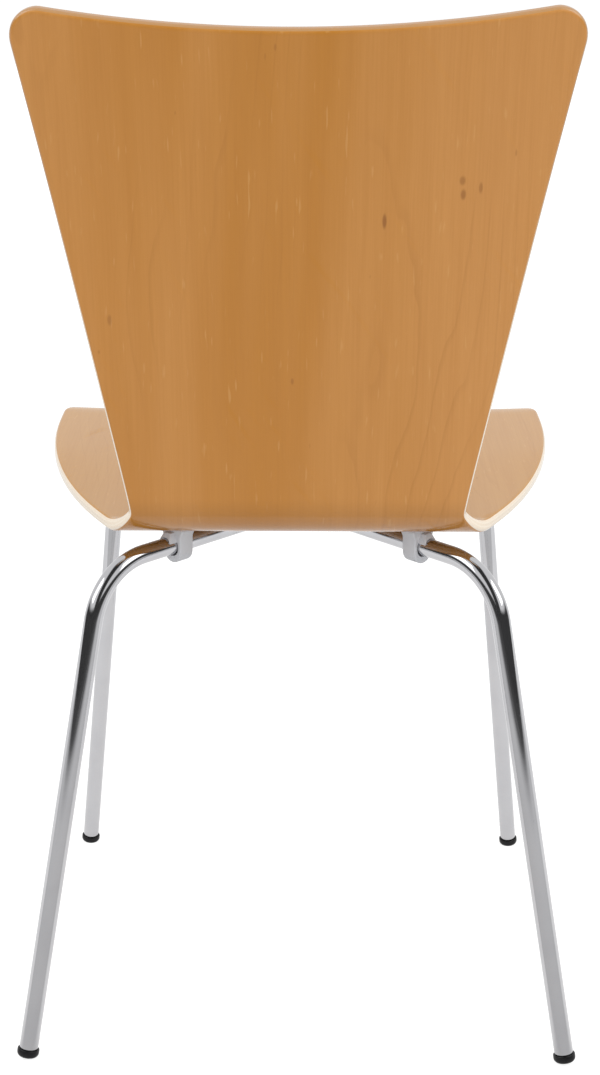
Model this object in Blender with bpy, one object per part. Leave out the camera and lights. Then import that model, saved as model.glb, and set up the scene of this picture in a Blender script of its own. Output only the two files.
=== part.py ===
"""Stacking chair: a one-piece bent plywood shell on a four-legged frame of two bent tubes.

Metres, +Z up, floor at z = 0. The sitter faces -Y. X is 0 on the middle plane of the chair.
Depths are counted from the rear feet. The empty that carries every piece centres the chair on Y.
"""
import math

import bmesh
import bpy
from mathutils import Matrix, Vector

# ---- driving dimensions -------------------------------------------------------------------
GAP = 0.0003                 # clearance between pieces that touch

# plywood shell: the side view, along the middle of the sheet
PLY_THICKNESS = 0.0105
EDGE_ROUND = 0.0036          # rounding of the sheet's edges
UNDERSIDE_HEIGHT = 0.4335    # floor to the lowest point of the bend
BEND_Y = -0.1135             # lowest point of the bend, from the rear feet
BEND_RADIUS = 0.040
SEAT_SLOPE = math.radians(4.5)
SEAT_LENGTH = 0.3139         # straight part of the seat
LIP_RADIUS = 0.080
LIP_ANGLE = math.radians(38.0)
BACK_LENGTH = 0.3945         # from the end of the bend to the highest point of the top edge
BACK_RECLINE_LOW = math.radians(10.0)
BACK_RECLINE_TOP = math.radians(17.0)

# plywood shell: the outline, as half widths of the flat blank
SEAT_HALF_WIDTH = 0.2371
SEAT_WIDEST = 0.297          # from the bend forward to the widest place
WAIST_HALF_WIDTH = 0.1365
WAIST_ABOVE_BEND = 0.040     # along the sheet
WAIST_CURVE = 2.25           # power of the seat's side curve
WAIST_BLEND = 0.0020
BACK_TOP_HALF_WIDTH = 0.2160
FRONT_CORNER = 0.057
TOP_CORNER = 0.027
TOP_DIP = 0.0125             # the top edge sinks by this much in the middle
TOP_DIP_HALF_SPAN = 0.190
TOP_DIP_FADE = 0.16          # the dip dies out this far below the top edge
FRONT_BOW = 0.005            # the front corners lie back by this much
FRONT_BOW_FADE = 0.12
SEAT_DISH = 0.004            # rise of the seat's sides
SEAT_DISH_FADE = (0.03, 0.20)     # the dish grows between these distances from the bend
BACK_HOLLOW = 0.014          # the back's sides come forward by this much at the top
BACK_HOLLOW_FADE = (0.05, 0.35)

# tube frame
TUBE_RADIUS = 0.008
TUBE_WALL = 0.0015
RAIL_DROP = 0.0083           # gap between the rails and the underside of the seat
REAR_FOOT_HALF_SPREAD = 0.2275
FRONT_FOOT_HALF_SPREAD = 0.2236
FOOT_DEPTH = 0.443           # between the front feet and the rear feet
REAR_SPLAY = 0.160           # sideways and lengthwise lean of a rear leg, per metre of height
FRONT_SPLAY = 0.1018
RAIL_SPREAD = 0.020          # half distance between the two tubes where they come closest
LEG_BEND_RADIUS = 0.060
CENTRE_BEND_RADIUS = 0.050

# centre mounting
PLATE_SIZE = (0.112, 0.104)
PLATE_CORNER = 0.012
PLATE_THICKNESS = 0.0030
SCREW_REACH_SIDE = 0.044
SCREW_REACH_LENGTH = 0.040
SCREW_SHANK = 0.0027         # radius
SCREW_HEAD = (0.0058, 0.0034)
SCREW_HEAD_FLAT = 0.62       # flat middle of the head, as a share of its radius
SCREW_HEAD_RIM = 0.0008
SCREW_ENTRY = 0.0060         # length of the screw inside the insert
SCREW_POINT = 0.0006
SOCKET_RADIUS = 0.0020
SOCKET_DEPTH = 0.0020
WASHER = (0.0072, 0.0012)
PAD_MARGIN = 0.004           # the pad is smaller than the plate all round
PLATE_HOLE_PLAY = 0.0005     # round the screws
PAD_HOLE_PLAY = 0.0010
INSERT = (0.0046, 0.0078)    # outer radius and length
INSERT_RIBS = 4
INSERT_GROOVE = (0.0006, 0.0004)  # half width and depth

# spacers and glides
SPACER_LENGTH = 0.0150
SPACER_WALL = 0.0027
SPACER_DROP = 0.0045         # the ring is this much deeper below the tube
SPACER_FLARE = 0.0028        # the seat end of a spacer is wider than its ring by this much
SPACER_BRIM = 0.0025         # height of the straight rim at the seat
SPACER_NECK = 0.0075         # the flare ends this far below the seat end
SPACER_NECK_WALL = 0.0004    # the neck is wider than the ring by this much
SPACER_RELIEF = 0.0012       # the bore is this much deeper below the tube
SPACER_EDGE = 0.0014
SPACER_TONGUE = 0.0085       # reach of the wedge that lies on the tube
SPACER_TONGUE_TOP = (0.0042, 0.0125)      # half width and height over the tube's axis
SPACER_TONGUE_ROOT = (0.0075, 0.0040)
SPACER_TONGUE_SLANT = 0.004  # its top edge ends this much sooner
REAR_SPACER_REACH = 0.102    # from the middle plane
FRONT_SPACER_REACH = 0.128
GLIDE_RADIUS = 0.0093
GLIDE_HEIGHT = 0.0078
GLIDE_EDGE = 0.0042
GLIDE_SHOULDER = (0.0006, 0.0008)
GLIDE_PLUG_LENGTH = 0.017
GLIDE_PLUG_POINT = (0.0012, 0.002)
GLIDE_SOLE_CUT = 0.0008      # the dome is cut flat this far above its lowest point

# fineness of the meshes
SHEET_COLUMNS = 14
CORNER_ROWS = 5
SEAT_ROWS = 9
BEND_ROWS = 14
BACK_ROWS = 10
EDGE_STEPS = 3
TUBE_SIDES = 12
TURN_SIDES = 16
GLIDE_SIDES = 20
DOME_STEPS = 5
CUT_MARGIN = 0.002           # cutters reach this far past the faces they cut


# ---- small tools ---------------------------------------------------------------------------
def clear_scene():
    for obj in list(bpy.data.objects):
        bpy.data.objects.remove(obj, do_unlink=True)


def finish_material(name, color, roughness, metallic=0.0):
    material = bpy.data.materials.new(name)
    material.use_nodes = True
    shader = material.node_tree.nodes["Principled BSDF"]
    shader.inputs["Base Color"].default_value = (*color, 1.0)
    shader.inputs["Roughness"].default_value = roughness
    shader.inputs["Metallic"].default_value = metallic
    return material


def make_object(name, mesh_data, material, matrix=None):
    mesh = bpy.data.meshes.new(name)
    bmesh.ops.recalc_face_normals(mesh_data, faces=mesh_data.faces)
    mesh_data.to_mesh(mesh)
    mesh_data.free()
    mesh.materials.append(material)
    mesh.shade_smooth()
    mesh.set_sharp_from_angle(angle=math.radians(35.0))
    obj = bpy.data.objects.new(name, mesh)
    bpy.context.scene.collection.objects.link(obj)
    if matrix is not None:
        obj.matrix_world = matrix
    return obj


def cut(target, cutter, operation="DIFFERENCE"):
    cutter.hide_render = True
    cutter.display_type = "WIRE"
    step = target.modifiers.new(operation.lower(), "BOOLEAN")
    step.operation = operation
    step.solver = "EXACT"
    step.object = cutter


def bridge_rings(mesh_data, rings, closed=False):
    """Join rings of vertices one after the other with quads."""
    pairs = list(zip(rings, rings[1:]))
    if closed:
        pairs.append((rings[-1], rings[0]))
    for ring, following in pairs:
        for index in range(len(ring)):
            other = (index + 1) % len(ring)
            corners = (ring[index], ring[other], following[other], following[index])
            mesh_data.faces.new(corners)


def turned(profile, sides=TURN_SIDES):
    """A turned solid about Z from (radius, height) points; a radius of 0 closes on the axis."""
    mesh_data = bmesh.new()
    rings = []
    for radius, height in profile:
        if radius == 0.0:
            rings.append([mesh_data.verts.new((0.0, 0.0, height))])
            continue
        ring = []
        for index in range(sides):
            angle = 2.0 * math.pi * index / sides
            place = (radius * math.cos(angle), radius * math.sin(angle), height)
            ring.append(mesh_data.verts.new(place))
        rings.append(ring)
    for ring, following in zip(rings, rings[1:] + rings[:1]):
        if len(ring) == 1 and len(following) == 1:
            continue
        for index in range(sides):
            other = (index + 1) % sides
            corners = [ring[index % len(ring)]]
            if len(ring) > 1:
                corners.append(ring[other])
            if len(following) > 1:
                corners.append(following[other])
            corners.append(following[index % len(following)])
            mesh_data.faces.new(corners)
    return mesh_data


def drill(radius, low, high):
    """A plain cylinder about Z, to cut a round hole with."""
    return turned([(0.0, low), (radius, low), (radius, high), (0.0, high)])


def extruded(outline, low, high):
    """A prism from a closed outline of (x, y) points between two heights."""
    mesh_data = bmesh.new()
    bottom = [mesh_data.verts.new((x, y, low)) for x, y in outline]
    top = [mesh_data.verts.new((x, y, high)) for x, y in outline]
    bridge_rings(mesh_data, [bottom, top])
    mesh_data.faces.new(list(reversed(bottom)))
    mesh_data.faces.new(top)
    return mesh_data


def arc_points(centre, radius, start, end, steps):
    points = []
    for index in range(steps + 1):
        angle = math.radians(start + (end - start) * index / steps)
        x = centre[0] + radius * math.cos(angle)
        y = centre[1] + radius * math.sin(angle)
        points.append((x, y))
    return points


def rounded_rectangle(width, depth, radius, steps=5):
    x = width / 2.0 - radius
    y = depth / 2.0 - radius
    points = arc_points((x, y), radius, 0.0, 90.0, steps)
    points += arc_points((-x, y), radius, 90.0, 180.0, steps)
    points += arc_points((-x, -y), radius, 180.0, 270.0, steps)
    points += arc_points((x, -y), radius, 270.0, 360.0, steps)
    return points


def ramp(value, low, high):
    share = min(1.0, max(0.0, (value - low) / (high - low)))
    return share * share * (3.0 - 2.0 * share)


# ---- side view of the shell -------------------------------------------------------------------
# Distance along the sheet is 0 at the lowest point of the bend, negative towards the front lip
# and positive towards the top of the back.
def front_segments():
    """Length and rise at the start and the end of each stretch, walking forward."""
    return [
        (BEND_RADIUS * SEAT_SLOPE, 0.0, SEAT_SLOPE),
        (SEAT_LENGTH, SEAT_SLOPE, SEAT_SLOPE),
        (LIP_RADIUS * (SEAT_SLOPE + LIP_ANGLE), SEAT_SLOPE, -LIP_ANGLE),
    ]


def back_segments():
    """The same, walking backward and up."""
    low = math.pi / 2.0 - BACK_RECLINE_LOW
    top = math.pi / 2.0 - BACK_RECLINE_TOP
    return [(BEND_RADIUS * low, 0.0, low), (BACK_LENGTH, low, top)]


def walk(segments, distance):
    """Run, rise and slope after a distance along the stretches."""
    run = 0.0
    rise = 0.0
    slope = 0.0
    for length, start, end in segments:
        part = min(distance, length)
        bend = (end - start) / length
        slope = start + bend * part
        if abs(bend) < 1e-9:
            run += part * math.cos(start)
            rise += part * math.sin(start)
        else:
            run += (math.sin(slope) - math.sin(start)) / bend
            rise += (math.cos(start) - math.cos(slope)) / bend
        distance -= part
        if distance <= 0.0:
            break
    run += distance * math.cos(slope)
    rise += distance * math.sin(slope)
    return run, rise, slope


def sheet_front():
    return -sum(length for length, start, end in front_segments())


def sheet_top():
    return sum(length for length, start, end in back_segments())


def middle_line(distance):
    """Y, Z and slope on the middle of the sheet's thickness, in the middle plane."""
    height = UNDERSIDE_HEIGHT + PLY_THICKNESS / 2.0
    if distance < 0.0:
        run, rise, slope = walk(front_segments(), -distance)
        return BEND_Y - run, height + rise, -slope
    run, rise, slope = walk(back_segments(), distance)
    return BEND_Y + run, height + rise, slope


def sheet_point(distance, x):
    """A point on the middle of the sheet, with the dish of the seat and the hollow of the back."""
    y, z, slope = middle_line(distance)
    dish = SEAT_DISH / SEAT_HALF_WIDTH ** 2 * ramp(-distance, *SEAT_DISH_FADE)
    hollow = BACK_HOLLOW / BACK_TOP_HALF_WIDTH ** 2 * ramp(distance, *BACK_HOLLOW_FADE)
    lift = x * x * (dish + hollow)
    return Vector((x, y - lift * math.sin(slope), z + lift * math.cos(slope)))


def sheet_axes(distance, x):
    """The sheet's directions across, along and out towards the sitter."""
    step = 0.0005
    across = sheet_point(distance, x + step) - sheet_point(distance, x - step)
    along = sheet_point(distance + step, x) - sheet_point(distance - step, x)
    across.normalize()
    along.normalize()
    return across, along, across.cross(along).normalized()


# ---- outline of the shell ---------------------------------------------------------------------
def top_dip(x):
    share = min(1.0, abs(x) / TOP_DIP_HALF_SPAN)
    return TOP_DIP * (1.0 - share * share)


def plain_half_width(distance):
    """Half width without the rounded corners."""
    top = sheet_top()
    taper = (BACK_TOP_HALF_WIDTH - WAIST_HALF_WIDTH) / (top - WAIST_ABOVE_BEND)
    back = WAIST_HALF_WIDTH + taper * (distance - WAIST_ABOVE_BEND)
    share = max(0.0, (distance + SEAT_WIDEST) / (SEAT_WIDEST + WAIST_ABOVE_BEND))
    narrowing = SEAT_HALF_WIDTH - WAIST_HALF_WIDTH
    seat = SEAT_HALF_WIDTH - narrowing * share ** WAIST_CURVE
    difference = back - seat
    return 0.5 * (back + seat + math.sqrt(difference * difference + 4.0 * WAIST_BLEND ** 2))


def corner_inset(depth, radius):
    """How far a rounded corner draws the side in, at a depth from the end edge."""
    if depth >= radius:
        return 0.0
    return radius - math.sqrt(max(0.0, radius * radius - (radius - depth) ** 2))


def row_distances(low, high, front_radius, top_radius):
    """Rows along the sheet: close together in the rounded corners and in the bends."""
    rows = []
    for index in range(CORNER_ROWS):
        turn = math.pi / 2.0 * index / CORNER_ROWS
        rows.append(low + front_radius * (1.0 - math.cos(turn)))
    lip_end = low + front_radius
    bend_low = -0.030
    bend_high = BEND_RADIUS * (math.pi / 2.0 - BACK_RECLINE_LOW) + 0.025
    for start, end, count in (
        (lip_end, bend_low, SEAT_ROWS),
        (bend_low, bend_high, BEND_ROWS),
        (bend_high, high - top_radius, BACK_ROWS),
    ):
        for index in range(count):
            rows.append(start + (end - start) * index / count)
    for index in range(CORNER_ROWS + 1):
        turn = math.pi / 2.0 * index / CORNER_ROWS
        rows.append(high - top_radius * (1.0 - math.sin(turn)))
    return rows


def shell_grid():
    """Rows of (distance, x) on the flat blank, drawn in from its outline by the edge rounding."""
    low = sheet_front() + EDGE_ROUND
    high = sheet_top() - EDGE_ROUND
    front_radius = FRONT_CORNER - EDGE_ROUND
    top_radius = TOP_CORNER - EDGE_ROUND
    grid = []
    for distance in row_distances(low, high, front_radius, top_radius):
        half = plain_half_width(distance) - EDGE_ROUND
        half -= corner_inset(distance - low, front_radius)
        half -= corner_inset(high - distance, top_radius)
        row = []
        for column in range(SHEET_COLUMNS + 1):
            x = half * (2.0 * column / SHEET_COLUMNS - 1.0)
            dip = top_dip(x) * ramp(distance, high - TOP_DIP_FADE, high)
            bow = FRONT_BOW * (x / SEAT_HALF_WIDTH) ** 2
            bow *= ramp(-distance, -low - FRONT_BOW_FADE, -low)
            row.append((distance - dip + bow, x))
        grid.append(row)
    return grid


def grid_rim(grid):
    """The places around the edge of the grid, once round."""
    last = len(grid) - 1
    wide = SHEET_COLUMNS
    rim = [(0, column) for column in range(wide)]
    rim += [(row, wide) for row in range(last)]
    rim += [(last, column) for column in range(wide, 0, -1)]
    rim += [(row, 0) for row in range(last, 0, -1)]
    return rim


def build_shell(material):
    mesh_data = bmesh.new()
    grid = shell_grid()
    half = PLY_THICKNESS / 2.0
    faces = {}
    for side in (1.0, -1.0):
        verts = []
        for row in grid:
            line = []
            for distance, x in row:
                normal = sheet_axes(distance, x)[2]
                line.append(mesh_data.verts.new(sheet_point(distance, x) + side * half * normal))
            verts.append(line)
        faces[side] = verts
        for row, following in zip(verts, verts[1:]):
            for column in range(SHEET_COLUMNS):
                corners = (row[column], row[column + 1], following[column + 1], following[column])
                mesh_data.faces.new(corners if side > 0.0 else tuple(reversed(corners)))
    rim = grid_rim(grid)
    rings = [[faces[1.0][row][column] for row, column in rim]]
    core = half - EDGE_ROUND
    for step in range(1, 2 * EDGE_STEPS):
        angle = math.pi / 2.0 - math.pi / 2.0 * step / EDGE_STEPS
        ring = []
        for index, (row, column) in enumerate(rim):
            before = grid[rim[index - 1][0]][rim[index - 1][1]]
            after_place = rim[(index + 1) % len(rim)]
            after = grid[after_place[0]][after_place[1]]
            distance, x = grid[row][column]
            run = Vector((after[1] - before[1], after[0] - before[0])).normalized()
            across, along, normal = sheet_axes(distance, x)
            outward = across * run.y - along * run.x
            height = core if angle > 1e-6 else -core if angle < -1e-6 else 0.0
            offset = outward * EDGE_ROUND * math.cos(angle)
            offset += normal * (height + EDGE_ROUND * math.sin(angle))
            ring.append(mesh_data.verts.new(sheet_point(distance, x) + offset))
        rings.append(ring)
    rings.append([faces[-1.0][row][column] for row, column in rim])
    bridge_rings(mesh_data, rings)
    shell = make_object("seat_shell", mesh_data, material)
    for name, x, y in screw_places():
        pocket = drill(INSERT[0] + GAP, -CUT_MARGIN, INSERT[1] + 2.0 * GAP)
        matrix = mounting_frame() @ Matrix.Translation((x, y, 0.0))
        cut(shell, make_object("pocket_" + name, pocket, material, matrix))
    return shell


# ---- frame under the seat ------------------------------------------------------------------------
def rail_direction():
    """Back and down along the seat, in the middle plane."""
    return Vector((0.0, math.cos(SEAT_SLOPE), -math.sin(SEAT_SLOPE)))


def seat_normal():
    return Vector((0.0, math.sin(SEAT_SLOPE), math.cos(SEAT_SLOPE)))


def underside_height(y):
    """Height of the flat underside of the seat at a depth."""
    lowest = middle_line(-BEND_RADIUS * SEAT_SLOPE)
    start = Vector((0.0, lowest[0], lowest[1])) - seat_normal() * PLY_THICKNESS / 2.0
    return start.z + (start.y - y) * math.tan(SEAT_SLOPE)


def rail_height(y):
    """Height of the rails' axis, which runs at an even distance below the seat."""
    return underside_height(y) - (RAIL_DROP + TUBE_RADIUS) / math.cos(SEAT_SLOPE)


def leg_line(front):
    """Foot on the floor and lean of a leg on the left side of the chair."""
    if front:
        return Vector((FRONT_FOOT_HALF_SPREAD, -FOOT_DEPTH, 0.0)), FRONT_SPLAY, 1.0
    return Vector((REAR_FOOT_HALF_SPREAD, 0.0, 0.0)), REAR_SPLAY, -1.0


def leg_point(front, height):
    foot, splay, inward = leg_line(front)
    return foot + Vector((-splay * height, inward * splay * height, height))


def leg_corner(front):
    """Where the axis of a leg meets the axis of its rail."""
    height = UNDERSIDE_HEIGHT
    for attempt in range(30):
        height = rail_height(leg_point(front, height).y)
    return leg_point(front, height)


def centre_corner(front):
    """Where the rail turns to run along the middle of the seat."""
    corner = leg_corner(front)
    inward = leg_line(front)[2]
    y = corner.y + inward * (corner.x - RAIL_SPREAD)
    return Vector((RAIL_SPREAD, y, rail_height(y)))


def centre_y():
    return (centre_corner(True).y + centre_corner(False).y) / 2.0


def mounting_frame():
    """Origin on the seat's underside above the crossing of the frame; Z is up into the seat."""
    y = centre_y()
    across = Vector((1.0, 0.0, 0.0))
    place = Vector((0.0, y, underside_height(y)))
    columns = (across, rail_direction(), seat_normal(), place)
    return Matrix([[column[row] for column in columns] for row in range(3)] + [[0, 0, 0, 1]])


def screw_places():
    return (
        ("left", SCREW_REACH_SIDE, 0.0),
        ("right", -SCREW_REACH_SIDE, 0.0),
        ("front", 0.0, -SCREW_REACH_LENGTH),
        ("rear", 0.0, SCREW_REACH_LENGTH),
    )


def foot_axis(front):
    """Unit direction up a leg."""
    return (leg_point(front, 1.0) - leg_point(front, 0.0)).normalized()


def sole_rise(front):
    """Distance up the leg's axis from the floor to the tube's end, over the glide's flat sole."""
    upright = foot_axis(front).z
    lean = math.sqrt(1.0 - upright * upright)
    dome = (GLIDE_HEIGHT - GLIDE_EDGE) * upright + (GLIDE_RADIUS - GLIDE_EDGE) * lean + GLIDE_EDGE
    return (dome - GLIDE_SOLE_CUT) / upright


def tube_end(front):
    return leg_point(front, 0.0) + foot_axis(front) * sole_rise(front)


def rounded_route(corners, radii, step_angle=math.radians(9.0)):
    """Straight runs through the corners with an arc of the given radius at each."""
    route = [corners[0]]
    for index, radius in enumerate(radii, start=1):
        corner = corners[index]
        back = (corners[index - 1] - corner).normalized()
        ahead = (corners[index + 1] - corner).normalized()
        turn = math.pi - back.angle(ahead)
        reach = radius * math.tan(turn / 2.0)
        start = corner + back * reach
        middle = corner + (back + ahead).normalized() * radius / math.cos(turn / 2.0)
        steps = max(2, math.ceil(turn / step_angle))
        axis = (-back).cross(ahead).normalized()
        arm = start - middle
        for number in range(steps + 1):
            turned_arm = Matrix.Rotation(turn * number / steps, 3, axis) @ arm
            route.append(middle + turned_arm)
    route.append(corners[-1])
    return route


def tube_rings(mesh_data, route, radius):
    """Rings square to the route, carried along it without twist."""
    tangents = []
    for index in range(len(route)):
        before = route[max(0, index - 1)]
        after = route[min(len(route) - 1, index + 1)]
        tangents.append((after - before).normalized())
    side = tangents[0].orthogonal().normalized()
    rings = []
    for place, tangent in zip(route, tangents):
        side = (side - tangent * side.dot(tangent)).normalized()
        other = tangent.cross(side)
        ring = []
        for index in range(TUBE_SIDES):
            angle = 2.0 * math.pi * index / TUBE_SIDES
            offset = side * math.cos(angle) + other * math.sin(angle)
            ring.append(mesh_data.verts.new(place + radius * offset))
        rings.append(ring)
    return rings


def frame_route():
    corners = [
        tube_end(True),
        leg_corner(True),
        centre_corner(True),
        centre_corner(False),
        leg_corner(False),
        tube_end(False),
    ]
    radii = [LEG_BEND_RADIUS, CENTRE_BEND_RADIUS, CENTRE_BEND_RADIUS, LEG_BEND_RADIUS]
    return rounded_route(corners, radii)


def build_frame_tube(name, side, material):
    """One tube: front leg, rail through the middle of the seat, rear leg."""
    route = [Vector((side * point.x, point.y, point.z)) for point in frame_route()]
    mesh_data = bmesh.new()
    outer = tube_rings(mesh_data, route, TUBE_RADIUS)
    inner = tube_rings(mesh_data, route, TUBE_RADIUS - TUBE_WALL)
    bridge_rings(mesh_data, outer + list(reversed(inner)), closed=True)
    return make_object(name, mesh_data, material)


# ---- centre mounting --------------------------------------------------------------------------------
def plate_levels():
    """Bottom and top of the plate, below the underside of the seat."""
    bottom = -RAIL_DROP + GAP
    return bottom, bottom + PLATE_THICKNESS


def pierced_sheet(name, width, depth, low, high, hole_radius, material):
    sheet = make_object(
        name,
        extruded(rounded_rectangle(width, depth, PLATE_CORNER), low, high),
        material,
        mounting_frame(),
    )
    for place, x, y in screw_places():
        hole = drill(hole_radius, low - CUT_MARGIN, high + CUT_MARGIN)
        matrix = mounting_frame() @ Matrix.Translation((x, y, 0.0))
        cut(sheet, make_object(name + "_hole_" + place, hole, material, matrix))
    return sheet


def build_plate(material):
    low, high = plate_levels()
    hole = SCREW_SHANK + PLATE_HOLE_PLAY
    return pierced_sheet("centre_plate", PLATE_SIZE[0], PLATE_SIZE[1], low, high, hole, material)


def build_pad(material):
    low = plate_levels()[1] + GAP
    width = PLATE_SIZE[0] - 2.0 * PAD_MARGIN
    depth = PLATE_SIZE[1] - 2.0 * PAD_MARGIN
    hole = SCREW_SHANK + PAD_HOLE_PLAY
    return pierced_sheet("mounting_pad", width, depth, low, -GAP, hole, material)


def build_washer(place, x, y, material):
    radius, thickness = WASHER
    top = plate_levels()[0] - GAP
    hole = SCREW_SHANK + GAP
    bottom = top - thickness
    profile = [(hole, bottom), (radius, bottom), (radius, top), (hole, top)]
    matrix = mounting_frame() @ Matrix.Translation((x, y, 0.0))
    return make_object("washer_" + place, turned(profile), material, matrix)


def build_screw(place, x, y, material):
    """Button-head screw from below, with a hexagonal socket."""
    head_radius, head_height = SCREW_HEAD
    top = plate_levels()[0] - 2.0 * GAP - WASHER[1]
    bottom = top - head_height
    profile = [(0.0, bottom)]
    for step in range(DOME_STEPS):
        angle = math.pi / 2.0 * step / (DOME_STEPS - 1)
        share = SCREW_HEAD_FLAT + (1.0 - SCREW_HEAD_FLAT) * math.sin(angle)
        rise = (head_height - SCREW_HEAD_RIM) * math.cos(angle)
        profile.append((head_radius * share, top - SCREW_HEAD_RIM - rise))
    profile += [
        (head_radius, top),
        (SCREW_SHANK, top),
        (SCREW_SHANK, SCREW_ENTRY - SCREW_POINT),
        (SCREW_SHANK - SCREW_POINT, SCREW_ENTRY),
        (0.0, SCREW_ENTRY),
    ]
    matrix = mounting_frame() @ Matrix.Translation((x, y, 0.0))
    screw = make_object("screw_" + place, turned(profile), material, matrix)
    hexagon = arc_points((0.0, 0.0), SOCKET_RADIUS, 0.0, 300.0, 5)
    socket = extruded(hexagon, bottom - CUT_MARGIN, bottom + SOCKET_DEPTH)
    cut(screw, make_object("socket_" + place, socket, material, matrix))
    return screw


def build_insert(place, x, y, material):
    """Threaded insert, set in a blind hole in the underside of the seat."""
    radius, length = INSERT
    bore = SCREW_SHANK + GAP
    half_groove, groove_depth = INSERT_GROOVE
    profile = [(bore, GAP), (radius, GAP)]
    for index in range(1, INSERT_RIBS):
        height = GAP + length * index / INSERT_RIBS
        profile.append((radius, height - half_groove))
        profile.append((radius - groove_depth, height))
        profile.append((radius, height + half_groove))
    profile += [(radius, length + GAP), (bore, length + GAP)]
    matrix = mounting_frame() @ Matrix.Translation((x, y, 0.0))
    return make_object("insert_" + place, turned(profile), material, matrix)


# ---- spacers and glides ----------------------------------------------------------------------------
def spacer_frame(front, side):
    """Origin on the tube's axis, X along it towards the leg, Z up to the seat."""
    corner = leg_corner(front)
    reach = FRONT_SPACER_REACH if front else REAR_SPACER_REACH
    inward = leg_line(front)[2]
    y = corner.y + inward * (corner.x - reach)
    place = Vector((reach, y, rail_height(y)))
    outward = (corner - place).normalized()
    outward.x *= side
    place.x *= side
    up = seat_normal()
    across = up.cross(outward).normalized()
    columns = (outward, across, up, place)
    return Matrix([[column[row] for column in columns] for row in range(3)] + [[0, 0, 0, 1]])


def lengthwise(mesh_data):
    """Turn a prism drawn on X and Y and raised along Z so that it lies along X instead."""
    turn = Matrix(((0, 0, 1, 0), (1, 0, 0, 0), (0, 1, 0, 0), (0, 0, 0, 1)))
    bmesh.ops.transform(mesh_data, matrix=turn, verts=mesh_data.verts)
    return mesh_data


def build_spacer(name, front, side, material):
    """Moulded ring round the rail, flared to a flat face that meets the seat."""
    matrix = spacer_frame(front, side)
    ring = TUBE_RADIUS + GAP + SPACER_WALL
    wide = ring + SPACER_FLARE
    neck = ring + SPACER_NECK_WALL
    top = TUBE_RADIUS + RAIL_DROP - GAP
    outline = [(wide, top), (-wide, top), (-wide, top - SPACER_BRIM), (-neck, top - SPACER_NECK)]
    outline += arc_points((0.0, -SPACER_DROP), ring, 180.0, 360.0, 14)
    outline += [(neck, top - SPACER_NECK), (wide, top - SPACER_BRIM)]
    half = SPACER_LENGTH / 2.0
    body = make_object(name, lengthwise(extruded(outline, -half, half)), material, matrix)
    rounding = body.modifiers.new("edges", "BEVEL")
    rounding.width = SPACER_EDGE
    rounding.segments = 2
    rounding.limit_method = "ANGLE"
    rounding.angle_limit = math.radians(50.0)
    top_half, top_height = SPACER_TONGUE_TOP
    root_half, root_height = SPACER_TONGUE_ROOT
    wedge = [(root_half, root_height), (top_half, top_height)]
    wedge += [(-top_half, top_height), (-root_half, root_height)]
    tongue = lengthwise(extruded(wedge, 0.0, half + SPACER_TONGUE))
    for vert in tongue.verts:
        if vert.co.x > half and vert.co.z > root_height + GAP:
            vert.co.x -= SPACER_TONGUE_SLANT
    cut(body, make_object(name + "_tongue", tongue, material, matrix), "UNION")
    bore_outline = arc_points((0.0, 0.0), TUBE_RADIUS + GAP, 0.0, 180.0, 12)
    bore_outline += arc_points((0.0, -SPACER_RELIEF), TUBE_RADIUS + GAP, 180.0, 360.0, 12)
    bore_end = half + SPACER_TONGUE + CUT_MARGIN
    bore = lengthwise(extruded(bore_outline, -half - CUT_MARGIN, bore_end))
    cut(body, make_object(name + "_bore", bore, material, matrix))
    return body


def build_glide(name, front, side, material):
    """Foot cap: a domed head below the tube's end and a plug inside it, cut flat on the floor."""
    plug = TUBE_RADIUS - TUBE_WALL - GAP
    centre = GLIDE_RADIUS - GLIDE_EDGE
    top = -GAP
    bottom = -GLIDE_HEIGHT
    profile = [(0.0, bottom)]
    for step in range(DOME_STEPS + 1):
        angle = math.pi / 2.0 * step / DOME_STEPS
        radius = centre + GLIDE_EDGE * math.sin(angle)
        profile.append((radius, bottom + GLIDE_EDGE * (1.0 - math.cos(angle))))
    profile += [
        (GLIDE_RADIUS, top - GLIDE_SHOULDER[1]),
        (GLIDE_RADIUS - GLIDE_SHOULDER[0], top),
        (plug, top),
        (plug, GLIDE_PLUG_LENGTH - GLIDE_PLUG_POINT[1]),
        (plug - GLIDE_PLUG_POINT[0], GLIDE_PLUG_LENGTH),
        (0.0, GLIDE_PLUG_LENGTH),
    ]
    mesh_data = turned(profile, GLIDE_SIDES)
    axis = foot_axis(front)
    axis.x *= side
    end = tube_end(front)
    place = Vector((end.x * side, end.y, end.z))
    matrix = Matrix.Translation(place) @ axis.to_track_quat("Z", "Y").to_matrix().to_4x4()
    bmesh.ops.transform(mesh_data, matrix=matrix, verts=mesh_data.verts)
    everything = mesh_data.verts[:] + mesh_data.edges[:] + mesh_data.faces[:]
    bmesh.ops.bisect_plane(
        mesh_data,
        geom=everything,
        dist=1e-7,
        plane_co=(0.0, 0.0, 0.0),
        plane_no=(0.0, 0.0, -1.0),
        clear_outer=True,
    )
    rim = [edge for edge in mesh_data.edges if edge.is_boundary]
    bmesh.ops.contextual_create(mesh_data, geom=rim)
    return make_object(name, mesh_data, material)


def carry_on_empty():
    """Parent every piece to one empty, which centres the chair's box on Y."""
    bpy.context.view_layer.update()
    graph = bpy.context.evaluated_depsgraph_get()
    carrier = bpy.data.objects.new("chair", None)
    depths = []
    for obj in list(bpy.context.scene.objects):
        if not obj.hide_render:
            mesh = obj.evaluated_get(graph).to_mesh()
            depths += [(obj.matrix_world @ vert.co).y for vert in mesh.vertices]
        obj.parent = carrier
    bpy.context.scene.collection.objects.link(carrier)
    carrier.location.y = -(min(depths) + max(depths)) / 2.0


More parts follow.
